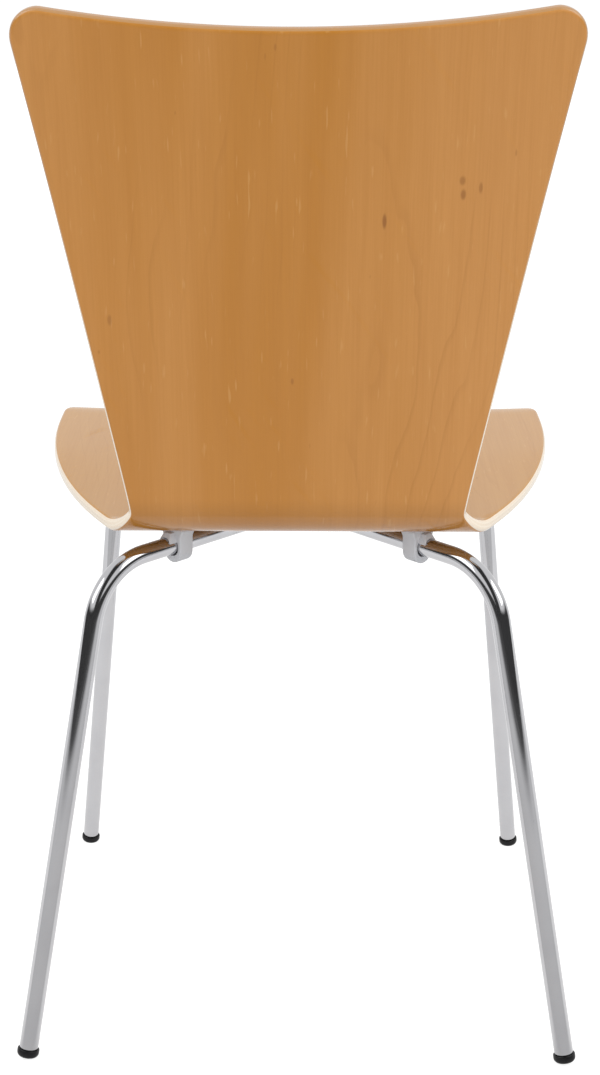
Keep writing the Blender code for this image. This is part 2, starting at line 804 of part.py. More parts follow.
def main():
    clear_scene()
    veneer = finish_material("varnished_veneer", (0.52, 0.25, 0.08), 0.35)
    chrome = finish_material("polished_chrome", (0.80, 0.81, 0.83), 0.06, 1.0)
    steel = finish_material("zinc_steel", (0.62, 0.62, 0.60), 0.32, 1.0)
    brass = finish_material("insert_steel", (0.66, 0.60, 0.42), 0.35, 1.0)
    grey_plastic = finish_material("grey_plastic", (0.46, 0.47, 0.48), 0.45)
    black_plastic = finish_material("black_plastic", (0.02, 0.02, 0.02), 0.50)

    build_shell(veneer)
    build_plate(steel)
    build_pad(black_plastic)
    for place, x, y in screw_places():
        build_washer(place, x, y, steel)
        build_screw(place, x, y, steel)
        build_insert(place, x, y, brass)
    for side_name, side in (("left", 1.0), ("right", -1.0)):
        build_frame_tube("frame_tube_" + side_name, side, chrome)
        for end_name, front in (("front", True), ("rear", False)):
            place = "_" + end_name + "_" + side_name
            build_spacer("spacer" + place, front, side, grey_plastic)
            build_glide("glide" + place, front, side, black_plastic)
    carry_on_empty()


main()
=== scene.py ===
"""Stacking chair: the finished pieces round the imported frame.

Metres, +Z up, floor at z = 0, the sitter faces -Y. The plywood shell is cut as a flat blank and
pressed to its curve, the frame is two tubes bent from straight lengths, and the fittings are
turned or moulded pieces.
"""
import math

import bmesh
import bpy
from mathutils import Matrix, Vector


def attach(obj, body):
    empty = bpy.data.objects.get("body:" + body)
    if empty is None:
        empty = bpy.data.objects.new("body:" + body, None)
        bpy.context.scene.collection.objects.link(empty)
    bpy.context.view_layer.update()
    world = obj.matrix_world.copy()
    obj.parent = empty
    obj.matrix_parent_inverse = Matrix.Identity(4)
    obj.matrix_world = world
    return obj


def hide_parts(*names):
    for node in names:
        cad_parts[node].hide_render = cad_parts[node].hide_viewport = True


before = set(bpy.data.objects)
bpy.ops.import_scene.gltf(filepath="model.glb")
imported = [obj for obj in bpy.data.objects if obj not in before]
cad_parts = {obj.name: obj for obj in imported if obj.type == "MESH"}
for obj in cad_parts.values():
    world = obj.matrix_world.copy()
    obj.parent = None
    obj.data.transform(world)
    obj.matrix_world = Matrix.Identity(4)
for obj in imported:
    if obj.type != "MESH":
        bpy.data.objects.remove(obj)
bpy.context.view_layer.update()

# ---- sizes, the same as the frame's ---------------------------------------------------------
GAP = 0.0003
REAR_FEET_Y = 0.23427        # depth at which the rear legs' axes meet the floor

PLY_THICKNESS = 0.0105
EDGE_ROUND = 0.0036
UNDERSIDE_HEIGHT = 0.4335
BEND_Y = -0.1135             # lowest point of the bend, from the rear feet
BEND_RADIUS = 0.040
SEAT_SLOPE = math.radians(4.5)
SEAT_LENGTH = 0.3139
LIP_RADIUS = 0.080
LIP_ANGLE = math.radians(38.0)
BACK_LENGTH = 0.3945
BACK_RECLINE_LOW = math.radians(10.0)
BACK_RECLINE_TOP = math.radians(17.0)

SEAT_HALF_WIDTH = 0.2371
SEAT_WIDEST = 0.297
WAIST_HALF_WIDTH = 0.1365
WAIST_ABOVE_BEND = 0.040
WAIST_CURVE = 2.25
WAIST_BLEND = 0.0020
BACK_TOP_HALF_WIDTH = 0.2160
FRONT_CORNER = 0.057
TOP_CORNER = 0.027
TOP_DIP = 0.0125
TOP_DIP_HALF_SPAN = 0.190
TOP_DIP_DEPTH = 0.16         # the dip fades out this far below the top edge
FRONT_BOW = 0.005
FRONT_BOW_DEPTH = 0.12
SEAT_DISH = 0.004
SEAT_DISH_FADE = (0.03, 0.20)             # it deepens between these distances from the bend
BACK_HOLLOW = 0.014
BACK_HOLLOW_FADE = (0.05, 0.35)

TUBE_RADIUS = 0.008
TUBE_WALL = 0.0015
RAIL_DROP = 0.0083
REAR_FOOT_HALF_SPREAD = 0.2275
FRONT_FOOT_HALF_SPREAD = 0.2236
FOOT_DEPTH = 0.443
REAR_SPLAY = 0.160
FRONT_SPLAY = 0.1018
RAIL_SPREAD = 0.020
LEG_BEND_RADIUS = 0.060
CENTRE_BEND_RADIUS = 0.050

PLATE_SIZE = (0.112, 0.104)
PLATE_CORNER = 0.012
PLATE_THICKNESS = 0.0030
PLATE_HOLE_PLAY = 0.0005
PAD_MARGIN = 0.004
PAD_HOLE_PLAY = 0.0010
SCREW_REACH_SIDE = 0.044
SCREW_REACH_LENGTH = 0.040
SCREW_SHANK = 0.0027
SCREW_HEAD = (0.0058, 0.0034)             # radius and height
SCREW_HEAD_FLAT = 0.62       # share of the head's radius that is flat
SCREW_HEAD_RIM = 0.0008
SCREW_ENTRY = 0.0060
SCREW_POINT = 0.0006
THREAD_PITCH = 0.0010
THREAD_DEPTH = 0.0004
SOCKET_RADIUS = 0.0020
SOCKET_DEPTH = 0.0020
WASHER = (0.0072, 0.0012)                 # radius and thickness
INSERT = (0.0046, 0.0078)                 # radius and length
INSERT_RIBS = 4
INSERT_GROOVE = (0.0006, 0.0004)          # half width and depth
SCREW_PLACES = {
    "left": (SCREW_REACH_SIDE, 0.0),
    "right": (-SCREW_REACH_SIDE, 0.0),
    "front": (0.0, -SCREW_REACH_LENGTH),
    "rear": (0.0, SCREW_REACH_LENGTH),
}
WELD_LENGTH = 0.024
WELD_RADIUS = 0.0019
WELD_RIPPLES = 16
WELD_SWELL = 0.16            # each ripple is wider by this share
WELD_SINK = (0.0012, 0.0008)              # into the rail and below the plate
WELD_REACH = 0.030           # its middle, from the middle of the plate

SPACER_LENGTH = 0.0150
SPACER_WALL = 0.0027
SPACER_DROP = 0.0045
SPACER_FLARE = 0.0028
SPACER_BRIM = 0.0025         # height of the straight rim at the seat
SPACER_NECK = 0.0075         # the flare ends this far below the seat end
SPACER_NECK_WALL = 0.0004    # the neck is wider than the ring by this much
SPACER_RELIEF = 0.0012       # the bore is this much deeper below the tube
SPACER_EDGE = 0.0014
SPACER_TONGUE = 0.0085       # reach of the wedge that lies on the tube
SPACER_TONGUE_TOP = (0.0042, 0.0125)      # half width and height over the tube's axis
SPACER_TONGUE_ROOT = (0.0075, 0.0040)
SPACER_TONGUE_SLANT = 0.004  # its top edge ends this much sooner
SPACER_TONGUE_EDGE = 0.0009
REAR_SPACER_REACH = 0.102
FRONT_SPACER_REACH = 0.128
GLIDE_RADIUS = 0.0093
GLIDE_HEIGHT = 0.0078
GLIDE_EDGE = 0.0042
GLIDE_SHOULDER = ((0.0, 0.0008), (0.0002, 0.0003), (0.0006, 0.0))
GLIDE_PLUG_LENGTH = 0.017
GLIDE_PLUG_POINT = 0.0012
GLIDE_RIBS = 4
GLIDE_RIB_DEPTH = 0.0006
GLIDE_RIB_SPAN = (0.001, 0.003)           # bare length at the shoulder, and in all
GLIDE_SOLE_CUT = 0.0008

# fineness
CORNER_STEPS = 8             # for half of a rounded corner of the sheet
MIDDLE_COLUMNS = 32
ROUND_STEPS = 6              # for a quarter round of the sheet's edge
BEND_REACH = (0.004, 0.030)  # finest rows, then finer rows, this far past the bend
ROW_PITCHES = (0.0080, 0.0040, 0.0022, 0.0040, 0.0080)
END_REACH = 0.10             # rows ease into the end rows over this length
TURN_STEPS = 48
TUBE_BEND_STEP = math.radians(2.5)
RING_STEPS = 36
CUTTER_MARGIN = 0.002        # a cutter stands this far out of the piece


# ---- modelling by hand ------------------------------------------------------------------------
def begin(name):
    """Name the piece that was just added and leave it alone in edit mode."""
    piece = bpy.context.object
    piece.name = name
    piece.data.name = name
    bpy.ops.object.mode_set(mode="EDIT")
    return piece


def finish_editing(piece):
    if bpy.context.object.mode == "EDIT":
        bpy.ops.object.mode_set(mode="OBJECT")
    bpy.ops.object.select_all(action="DESELECT")
    piece.select_set(True)
    bpy.context.view_layer.objects.active = piece
    return piece


def choose(kind, test):
    """Select only the vertices, edges or faces of the edited piece that pass the test."""
    modes = {"verts": "VERT", "edges": "EDGE", "faces": "FACE"}
    bpy.ops.mesh.select_mode(type=modes[kind])
    bpy.ops.mesh.select_all(action="DESELECT")
    mesh = bmesh.from_edit_mesh(bpy.context.object.data)
    for element in getattr(mesh, kind):
        if test(element):
            element.select_set(True)
    bmesh.update_edit_mesh(bpy.context.object.data)


def extrude(move):
    bpy.ops.mesh.extrude_region_move(TRANSFORM_OT_translate={"value": move})


def draw_line(name, points):
    """A chain of edges through the points, drawn by pulling a vertex from one to the next."""
    bpy.ops.object.select_all(action="DESELECT")
    bpy.ops.mesh.primitive_plane_add(size=0.01)
    piece = begin(name)
    bpy.ops.mesh.select_mode(type="VERT")
    bpy.ops.mesh.select_all(action="SELECT")
    bpy.ops.mesh.merge(type="CENTER")
    bpy.ops.mesh.select_all(action="SELECT")
    bpy.ops.transform.translate(value=points[0])
    for before, after in zip(points, points[1:]):
        extrude(Vector(after) - Vector(before))
    return piece


def close_outline(points):
    """Join the two ends of a drawn line and fill it."""
    ends = (Vector(points[0]), Vector(points[-1]))
    choose("verts", lambda vert: min((vert.co - end).length for end in ends) < 1e-6)
    bpy.ops.mesh.edge_face_add()
    bpy.ops.mesh.select_all(action="SELECT")
    bpy.ops.mesh.edge_face_add()


def turn(name, profile, steps=TURN_STEPS):
    """A turned piece about Z from (radius, height) points that start and end on the axis,
    or that come back to where they start."""
    piece = draw_line(name, [(radius, 0.0, height) for radius, height in profile])
    bpy.ops.mesh.select_all(action="SELECT")
    bpy.ops.mesh.spin(steps=steps, angle=2.0 * math.pi, center=(0, 0, 0), axis=(0, 0, 1))
    bpy.ops.mesh.select_all(action="SELECT")
    bpy.ops.mesh.remove_doubles(threshold=1e-6)
    bpy.ops.mesh.normals_make_consistent(inside=False)
    return finish_editing(piece)


def use(piece, kind, **settings):
    """Add a modifier with these settings and apply it."""
    bpy.context.view_layer.objects.active = piece
    modifier = piece.modifiers.new(kind.lower(), kind)
    for name, value in settings.items():
        setattr(modifier, name, value)
    bpy.ops.object.modifier_apply(modifier=modifier.name)


def combine(piece, tool, operation="DIFFERENCE"):
    """Cut the piece with a tool, or join the two, and clear the tool away."""
    use(piece, "BOOLEAN", operation=operation, solver="EXACT", object=tool)
    bpy.data.objects.remove(tool, do_unlink=True)


def round_edges(piece, width, segments=3, angle=50.0):
    use(
        piece,
        "BEVEL",
        width=width,
        segments=segments,
        limit_method="ANGLE",
        angle_limit=math.radians(angle),
    )


def smooth(piece, angle=35.0):
    finish_editing(piece)
    bpy.ops.object.shade_smooth_by_angle(angle=math.radians(angle))


def copy_of(piece, name, matrix):
    """A copy with its own mesh, placed in its mesh."""
    copy = piece.copy()
    copy.data = piece.data.copy()
    copy.name = name
    copy.data.name = name
    bpy.context.scene.collection.objects.link(copy)
    copy.data.transform(matrix)
    return copy


def fit(piece, material, slot, *nodes):
    """Give a finished piece its material and its place on the frame."""
    piece.data.materials.clear()
    piece.data.materials.append(material)
    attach(piece, "root")
    if nodes:
        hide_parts(*nodes)


def ramp(value, low, high):
    share = min(1.0, max(0.0, (value - low) / (high - low)))
    return share * share * (3.0 - 2.0 * share)


def arc(centre, radius, start, end, steps):
    points = []
    for index in range(steps + 1):
        angle = math.radians(start + (end - start) * index / steps)
        x = centre[0] + radius * math.cos(angle)
        y = centre[1] + radius * math.sin(angle)
        points.append((x, y))
    return points


# ---- side view of the shell -------------------------------------------------------------------
# Distance along the sheet is 0 at the lowest point of the bend, negative towards the front lip
# and positive towards the top of the back.
def front_stretches():
    """Length and rise at the start and the end of each stretch, walking forward."""
    return [
        (BEND_RADIUS * SEAT_SLOPE, 0.0, SEAT_SLOPE),
        (SEAT_LENGTH, SEAT_SLOPE, SEAT_SLOPE),
        (LIP_RADIUS * (SEAT_SLOPE + LIP_ANGLE), SEAT_SLOPE, -LIP_ANGLE),
    ]


def back_stretches():
    low = math.pi / 2.0 - BACK_RECLINE_LOW
    top = math.pi / 2.0 - BACK_RECLINE_TOP
    return [(BEND_RADIUS * low, 0.0, low), (BACK_LENGTH, low, top)]


def walk(stretches, distance):
    """Run, rise and slope after a distance along the stretches."""
    run = 0.0
    rise = 0.0
    slope = 0.0
    for length, start, end in stretches:
        part = min(distance, length)
        bend = (end - start) / length
        slope = start + bend * part
        if abs(bend) < 1e-9:
            run += part * math.cos(start)
            rise += part * math.sin(start)
        else:
            run += (math.sin(slope) - math.sin(start)) / bend
            rise += (math.cos(start) - math.cos(slope)) / bend
        distance -= part
        if distance <= 0.0:
            break
    run += distance * math.cos(slope)
    rise += distance * math.sin(slope)
    return run, rise, slope


SHEET_FRONT = -sum(length for length, start, end in front_stretches())
SHEET_TOP = sum(length for length, start, end in back_stretches())


def middle_line(distance):
    """Depth, height and slope on the middle of the sheet's thickness, in the middle plane."""
    depth = REAR_FEET_Y + BEND_Y
    height = UNDERSIDE_HEIGHT + PLY_THICKNESS / 2.0
    if distance < 0.0:
        run, rise, slope = walk(front_stretches(), -distance)
        return depth - run, height + rise, -slope
    run, rise, slope = walk(back_stretches(), distance)
    return depth + run, height + rise, slope


def sheet_point(distance, x):
    """A point on the middle of the sheet, with the dish of the seat and the hollow of the back."""
    y, z, slope = middle_line(distance)
    dish = SEAT_DISH / SEAT_HALF_WIDTH ** 2 * ramp(-distance, *SEAT_DISH_FADE)
    hollow = BACK_HOLLOW / BACK_TOP_HALF_WIDTH ** 2 * ramp(distance, *BACK_HOLLOW_FADE)
    lift = x * x * (dish + hollow)
    return Vector((x, y - lift * math.sin(slope), z + lift * math.cos(slope)))


def sheet_normal(distance, x):
    step = 0.0005
    across = sheet_point(distance, x + step) - sheet_point(distance, x - step)
    along = sheet_point(distance + step, x) - sheet_point(distance - step, x)
    return across.cross(along).normalized()


# ---- the blank --------------------------------------------------------------------------------
def top_dip(x):
    share = min(1.0, abs(x) / TOP_DIP_HALF_SPAN)
    return TOP_DIP * (1.0 - share * share)


def plain_half_width(distance):
    """Half width without the rounded corners."""
    taper = (BACK_TOP_HALF_WIDTH - WAIST_HALF_WIDTH) / (SHEET_TOP - WAIST_ABOVE_BEND)
    back = WAIST_HALF_WIDTH + taper * (distance - WAIST_ABOVE_BEND)
    share = max(0.0, (distance + SEAT_WIDEST) / (SEAT_WIDEST + WAIST_ABOVE_BEND))
    narrowing = SEAT_HALF_WIDTH - WAIST_HALF_WIDTH
    seat = SEAT_HALF_WIDTH - narrowing * share ** WAIST_CURVE
    difference = back - seat
    return 0.5 * (back + seat + math.sqrt(difference * difference + 4.0 * WAIST_BLEND ** 2))


def corner_inset(depth, radius):
    if depth >= radius:
        return 0.0
    return radius - math.sqrt(max(0.0, radius * radius - (radius - depth) ** 2))


def half_width(distance, low, high):
    """Half width of the sheet's flat face, inside the rounding of its edge."""
    half = plain_half_width(distance) - EDGE_ROUND
    half -= corner_inset(distance - low, FRONT_CORNER - EDGE_ROUND)
    half -= corner_inset(high - distance, TOP_CORNER - EDGE_ROUND)
    return half


def side_rows(low, high):
    """Distances of the rows where they meet the sides, from corner to corner."""
    front = FRONT_CORNER - EDGE_ROUND
    top = TOP_CORNER - EDGE_ROUND
    eighth = math.pi / 4.0
    steps = CORNER_STEPS
    rows = [low + front * (1.0 - math.sin(eighth * (1.0 - n / steps))) for n in range(steps)]
    bend_end = BEND_RADIUS * (math.pi / 2.0 - BACK_RECLINE_LOW)
    near, far = BEND_REACH
    places = (low + front, -far, -near, bend_end + near, bend_end + far, high - top)
    for start, end, pitch in zip(places, places[1:], ROW_PITCHES):
        count = math.ceil((end - start) / pitch)
        rows += [start + (end - start) * n / count for n in range(count)]
    rows += [high - top * (1.0 - math.sin(eighth * n / steps)) for n in range(steps + 1)]
    return rows


def end_row(edge, inward, radius, low, high):
    """Places (x, distance) along the front or the top edge, between the middles of its corners."""
    half = []
    for step in range(CORNER_STEPS + 1):
        angle = math.pi / 4.0 * (1.0 + step / CORNER_STEPS)
        distance = edge + inward * radius * (1.0 - math.sin(angle))
        half.append((half_width(distance, low, high), distance))
    reach = half[-1][0]
    middle = []
    for step in range(1, MIDDLE_COLUMNS):
        middle.append((reach * (2.0 * step / MIDDLE_COLUMNS - 1.0), edge))
    left = [(-x, distance) for x, distance in half]
    return left + middle + list(reversed(half))


def blank_rows():
    """Rows of (x, distance) over the flat blank; its end rows follow the rounded corners."""
    low = SHEET_FRONT + EDGE_ROUND
    high = SHEET_TOP - EDGE_ROUND
    rows = side_rows(low, high)
    front = end_row(low, 1.0, FRONT_CORNER - EDGE_ROUND, low, high)
    top = end_row(high, -1.0, TOP_CORNER - EDGE_ROUND, low, high)
    grid = []
    for distance in rows:
        half = half_width(distance, low, high)
        near_top = ramp(distance, rows[-1] - END_REACH, rows[-1])
        near_front = ramp(-distance, -rows[0] - END_REACH, -rows[0])
        share = ramp(distance, rows[0], rows[-1])
        line = []
        for (front_x, front_s), (top_x, top_s) in zip(front, top):
            spread = front_x / front[-1][0] * (1.0 - share) + top_x / top[-1][0] * share
            x = half * spread
            place = distance
            place += near_top * (top_s - rows[-1]) + near_front * (front_s - rows[0])
            dip = top_dip(x) * ramp(place, high - TOP_DIP_DEPTH, high)
            bow = FRONT_BOW * (x / SEAT_HALF_WIDTH) ** 2
            bow *= ramp(-place, -low - FRONT_BOW_DEPTH, -low)
            line.append((x, place - dip + bow))
        grid.append(line)
    return grid


def cut_blank():
    """The flat blank with rounded edges: X across, Y along the sheet, Z through it."""
    grid = blank_rows()
    half = PLY_THICKNESS / 2.0
    bpy.ops.object.select_all(action="DESELECT")
    columns = len(grid[0]) - 1
    bpy.ops.mesh.primitive_grid_add(x_subdivisions=columns, y_subdivisions=len(grid) - 1, size=1.0)
    blank = bpy.context.object
    places = [place for line in grid for place in line]
    for vert, (x, distance) in zip(blank.data.vertices, places):
        vert.co = (x, distance, half)
    begin("shell")
    bpy.ops.mesh.select_all(action="SELECT")
    bpy.ops.mesh.duplicate_move(TRANSFORM_OT_translate={"value": (0, 0, -PLY_THICKNESS)})
    bpy.ops.mesh.flip_normals()
    choose("edges", lambda edge: edge.is_boundary)
    cuts = 2 * ROUND_STEPS
    bpy.ops.mesh.bridge_edge_loops(number_cuts=cuts, interpolation="LINEAR")
    finish_editing(blank)
    core = half - EDGE_ROUND
    wall = []
    for vert in blank.data.vertices:
        level = round((half - vert.co.z) / PLY_THICKNESS * (cuts + 1))
        if 0 < level <= cuts:
            wall.append((vert.index, level, Vector((vert.normal.x, vert.normal.y, 0)).normalized()))
    for index, level, outward in wall:
        upper = level <= ROUND_STEPS
        step = level if upper else cuts + 1 - level
        angle = math.pi / 2.0 * (1.0 - step / ROUND_STEPS)
        height = core + EDGE_ROUND * math.sin(angle)
        vert = blank.data.vertices[index]
        place = Vector((vert.co.x, vert.co.y, 0.0)) + outward * EDGE_ROUND * math.cos(angle)
        place.z = height if upper else -height
        vert.co = place
    return blank


def distance_at(y):
    """Distance along the straight part of the seat at a depth."""
    start = -BEND_RADIUS * SEAT_SLOPE
    return start - (middle_line(start)[0] - y) / math.cos(SEAT_SLOPE)


def press_shell():
    shell = cut_blank()
    half = PLY_THICKNESS / 2.0
    pocket_depth = INSERT[1] + 2.0 * GAP
    for x, y in SCREW_PLACES.values():
        place = distance_at((mounting_frame() @ Vector((x, y, half))).y)
        bpy.ops.object.select_all(action="DESELECT")
        bpy.ops.mesh.primitive_cylinder_add(
            vertices=32,
            radius=INSERT[0] + GAP,
            depth=pocket_depth + CUTTER_MARGIN,
            location=(x, place, -half + (pocket_depth - CUTTER_MARGIN) / 2.0),
        )
        combine(shell, bpy.context.object)
    flat = shell.data.attributes.new("blank", "FLOAT_VECTOR", "POINT")
    for index, vert in enumerate(shell.data.vertices):
        flat.data[index].vector = vert.co
        x, distance, through = vert.co
        vert.co = sheet_point(distance, x) + through * sheet_normal(distance, x)
    smooth(shell, 40.0)
    use(shell, "WEIGHTED_NORMAL", keep_sharp=True)
    return shell


# ---- the bent tubes ---------------------------------------------------------------------------
def rail_direction():
    return Vector((0.0, math.cos(SEAT_SLOPE), -math.sin(SEAT_SLOPE)))


def seat_normal():
    return Vector((0.0, math.sin(SEAT_SLOPE), math.cos(SEAT_SLOPE)))


def underside_height(y):
    lowest = middle_line(-BEND_RADIUS * SEAT_SLOPE)
    start = Vector((0.0, lowest[0], lowest[1])) - seat_normal() * PLY_THICKNESS / 2.0
    return start.z + (start.y - y) * math.tan(SEAT_SLOPE)


def rail_height(y):
    return underside_height(y) - (RAIL_DROP + TUBE_RADIUS) / math.cos(SEAT_SLOPE)


def leg_line(front):
    """Foot on the floor and lean of a leg on the left side of the chair."""
    if front:
        return Vector((FRONT_FOOT_HALF_SPREAD, REAR_FEET_Y - FOOT_DEPTH, 0.0)), FRONT_SPLAY, 1.0
    return Vector((REAR_FOOT_HALF_SPREAD, REAR_FEET_Y, 0.0)), REAR_SPLAY, -1.0


def leg_point(front, height):
    foot, splay, inward = leg_line(front)
    return foot + Vector((-splay * height, inward * splay * height, height))


def leg_corner(front):
    """Where the axis of a leg meets the axis of its rail."""
    height = UNDERSIDE_HEIGHT
    for attempt in range(30):
        height = rail_height(leg_point(front, height).y)
    return leg_point(front, height)


def centre_corner(front):
    """Where the rail turns to run along the middle of the seat."""
    corner = leg_corner(front)
    y = corner.y + leg_line(front)[2] * (corner.x - RAIL_SPREAD)
    return Vector((RAIL_SPREAD, y, rail_height(y)))


def square_frame(along, across, up, place):
    columns = (along, across, up, place)
    return Matrix([[column[row] for column in columns] for row in range(3)] + [[0, 0, 0, 1]])


def mounting_frame():
    """Origin on the underside of the seat above the crossing of the frame; Z is up into the seat."""
    y = (centre_corner(True).y + centre_corner(False).y) / 2.0
    place = Vector((0.0, y, underside_height(y)))
    return square_frame(Vector((1.0, 0.0, 0.0)), rail_direction(), seat_normal(), place)


def foot_axis(front):
    return (leg_point(front, 1.0) - leg_point(front, 0.0)).normalized()


def sole_rise(front):
    """Distance up the leg's axis from the floor to the tube's end."""
    upright = foot_axis(front).z
    lean = math.sqrt(1.0 - upright * upright)
    dome = (GLIDE_HEIGHT - GLIDE_EDGE) * upright + (GLIDE_RADIUS - GLIDE_EDGE) * lean + GLIDE_EDGE
    return (dome - GLIDE_SOLE_CUT) / upright


def tube_end(front):
    return leg_point(front, 0.0) + foot_axis(front) * sole_rise(front)


def bend_tube(name, side):
    """One tube: front leg, rail through the middle of the seat, rear leg."""
    corners = [
        tube_end(True),
        leg_corner(True),
        centre_corner(True),
        centre_corner(False),
        leg_corner(False),
        tube_end(False),
    ]
    corners = [Vector((side * point.x, point.y, point.z)) for point in corners]
    radii = [LEG_BEND_RADIUS, CENTRE_BEND_RADIUS, CENTRE_BEND_RADIUS, LEG_BEND_RADIUS]
    start = corners[0]
    heading = (corners[1] - start).normalized()
    bpy.ops.object.select_all(action="DESELECT")
    bpy.ops.mesh.primitive_circle_add(
        vertices=TURN_STEPS,
        radius=TUBE_RADIUS,
        location=start,
        rotation=heading.to_track_quat("Z", "Y").to_euler(),
    )
    bpy.ops.object.transform_apply(location=True, rotation=True, scale=True)
    tube = begin(name)
    bpy.ops.mesh.select_all(action="SELECT")
    place = start
    for index, radius in enumerate(radii, start=1):
        corner = corners[index]
        back = (corners[index - 1] - corner).normalized()
        ahead = (corners[index + 1] - corner).normalized()
        angle = math.pi - back.angle(ahead)
        bend_start = corner + back * radius * math.tan(angle / 2.0)
        centre = corner + (back + ahead).normalized() * radius / math.cos(angle / 2.0)
        extrude(bend_start - place)
        bpy.ops.mesh.spin(
            steps=math.ceil(angle / TUBE_BEND_STEP),
            angle=angle,
            center=centre,
            axis=back.cross(ahead),
        )
        place = corner + ahead * radius * math.tan(angle / 2.0)
    extrude(corners[-1] - place)
    bpy.ops.mesh.select_all(action="SELECT")
    bpy.ops.mesh.remove_doubles(threshold=1e-6)
    bpy.ops.mesh.normals_make_consistent(inside=False)
    finish_editing(tube)
    use(tube, "SOLIDIFY", thickness=TUBE_WALL, offset=-1.0)
    round_edges(tube, 0.0003, 2, 60.0)
    smooth(tube)
    return tube


def weld(name, side, y):
    """A bead in ripples along the corner between a rail and the edge of the plate."""
    outline = [(0.0, 0.0)]
    steps = WELD_RIPPLES * 6
    for step in range(steps + 1):
        share = step / steps
        swell = 1.0 + WELD_SWELL * abs(math.sin(math.pi * WELD_RIPPLES * share))
        taper = math.sqrt(max(0.0, 1.0 - (2.0 * share - 1.0) ** 8))
        outline.append((WELD_RADIUS * swell * taper, WELD_LENGTH * share))
    outline.append((0.0, WELD_LENGTH))
    bead = turn(name, outline, 16)
    bead.data.transform(Matrix.Translation((0.0, 0.0, -WELD_LENGTH / 2.0)))
    lay = Matrix.Rotation(-math.pi / 2.0, 4, "X")
    into_rail, below_plate = WELD_SINK
    x = side * (RAIL_SPREAD + TUBE_RADIUS - into_rail)
    lift = Matrix.Translation((x, y, plate_levels()[0] - below_plate))
    bead.data.transform(mounting_frame() @ lift @ lay)
    smooth(bead, 60.0)
    return bead


# ---- plate, pad and fasteners -----------------------------------------------------------------
def plate_levels():
    bottom = -RAIL_DROP + GAP
    return bottom, bottom + PLATE_THICKNESS


def pierced_sheet(name, width, depth, low, high, hole, rounding):
    """A flat sheet with rounded corners and four holes, on the mounting."""
    bpy.ops.object.select_all(action="DESELECT")
    bpy.ops.mesh.primitive_cube_add(
        size=1.0,
        location=(0.0, 0.0, (low + high) / 2.0),
        scale=(width, depth, high - low),
    )
    bpy.ops.object.transform_apply(location=True, rotation=True, scale=True)
    sheet = begin(name)
    choose("edges", lambda edge: abs(edge.verts[0].co.z - edge.verts[1].co.z) > 1e-4)
    bpy.ops.mesh.bevel(offset=PLATE_CORNER, segments=10, profile=0.5)
    finish_editing(sheet)
    for x, y in SCREW_PLACES.values():
        bpy.ops.object.select_all(action="DESELECT")
        bpy.ops.mesh.primitive_cylinder_add(
            vertices=40, radius=hole, depth=0.03, location=(x, y, low)
        )
        combine(sheet, bpy.context.object)
    round_edges(sheet, rounding, 3, 60.0)
    sheet.data.transform(mounting_frame())
    smooth(sheet)
    return sheet


def washer_shape():
    radius, thickness = WASHER
    top = plate_levels()[0] - GAP
    bottom = top - thickness
    hole = SCREW_SHANK + GAP
    profile = [(hole, bottom), (radius, bottom), (radius, top), (hole, top), (hole, bottom)]
    washer = turn("washer", profile)
    round_edges(washer, 0.0002, 2, 60.0)
    smooth(washer)
    return washer


def screw_shape():
    """Button head with a hexagonal socket, and a threaded shank."""
    head_radius, head_height = SCREW_HEAD
    top = plate_levels()[0] - 2.0 * GAP - WASHER[1]
    bottom = top - head_height
    dome = head_height - SCREW_HEAD_RIM
    profile = [(0.0, bottom)]
    for step in range(11):
        angle = math.pi / 2.0 * step / 10.0
        radius = head_radius * (SCREW_HEAD_FLAT + (1.0 - SCREW_HEAD_FLAT) * math.sin(angle))
        profile.append((radius, top - SCREW_HEAD_RIM - dome * math.cos(angle)))
    profile += [(head_radius, top), (SCREW_SHANK, top)]
    height = 0.0
    while height < SCREW_ENTRY - 2.0 * THREAD_PITCH:
        profile.append((SCREW_SHANK, height))
        profile.append((SCREW_SHANK - THREAD_DEPTH, height + THREAD_PITCH / 2.0))
        height += THREAD_PITCH
    profile += [(SCREW_SHANK - SCREW_POINT, SCREW_ENTRY), (0.0, SCREW_ENTRY)]
    screw = turn("screw", profile)
    bpy.ops.object.select_all(action="DESELECT")
    bpy.ops.mesh.primitive_cylinder_add(
        vertices=6,
        radius=SOCKET_RADIUS,
        depth=SOCKET_DEPTH + CUTTER_MARGIN,
        location=(0.0, 0.0, bottom + (SOCKET_DEPTH - CUTTER_MARGIN) / 2.0),
    )
    combine(screw, bpy.context.object)
    round_edges(screw, 0.00015, 2, 50.0)
    smooth(screw)
    return screw


def insert_shape():
    """Threaded insert with a knurled outer wall."""
    radius, length = INSERT
    bore = SCREW_SHANK + GAP
    reach, depth = INSERT_GROOVE
    profile = [(bore, 0.0), (radius, 0.0)]
    for index in range(1, INSERT_RIBS):
        middle = length / INSERT_RIBS * index
        profile += [(radius, middle - reach), (radius - depth, middle), (radius, middle + reach)]
    profile += [(radius, length), (bore, length), (bore, 0.0)]
    insert = turn("insert", [(width, height + GAP) for width, height in profile])
    round_edges(insert, 0.00015, 2, 60.0)
    smooth(insert)
    return insert


# ---- spacers and glides -----------------------------------------------------------------------
def spacer_place(front, side):
    """Origin on the tube's axis, X along it towards the leg, Z up to the seat."""
    corner = leg_corner(front)
    reach = FRONT_SPACER_REACH if front else REAR_SPACER_REACH
    y = corner.y + leg_line(front)[2] * (corner.x - reach)
    place = Vector((reach, y, rail_height(y)))
    outward = (corner - place).normalized()
    outward.x *= side
    place.x *= side
    up = seat_normal()
    across = up.cross(outward).normalized()
    return square_frame(outward, across, up, place)


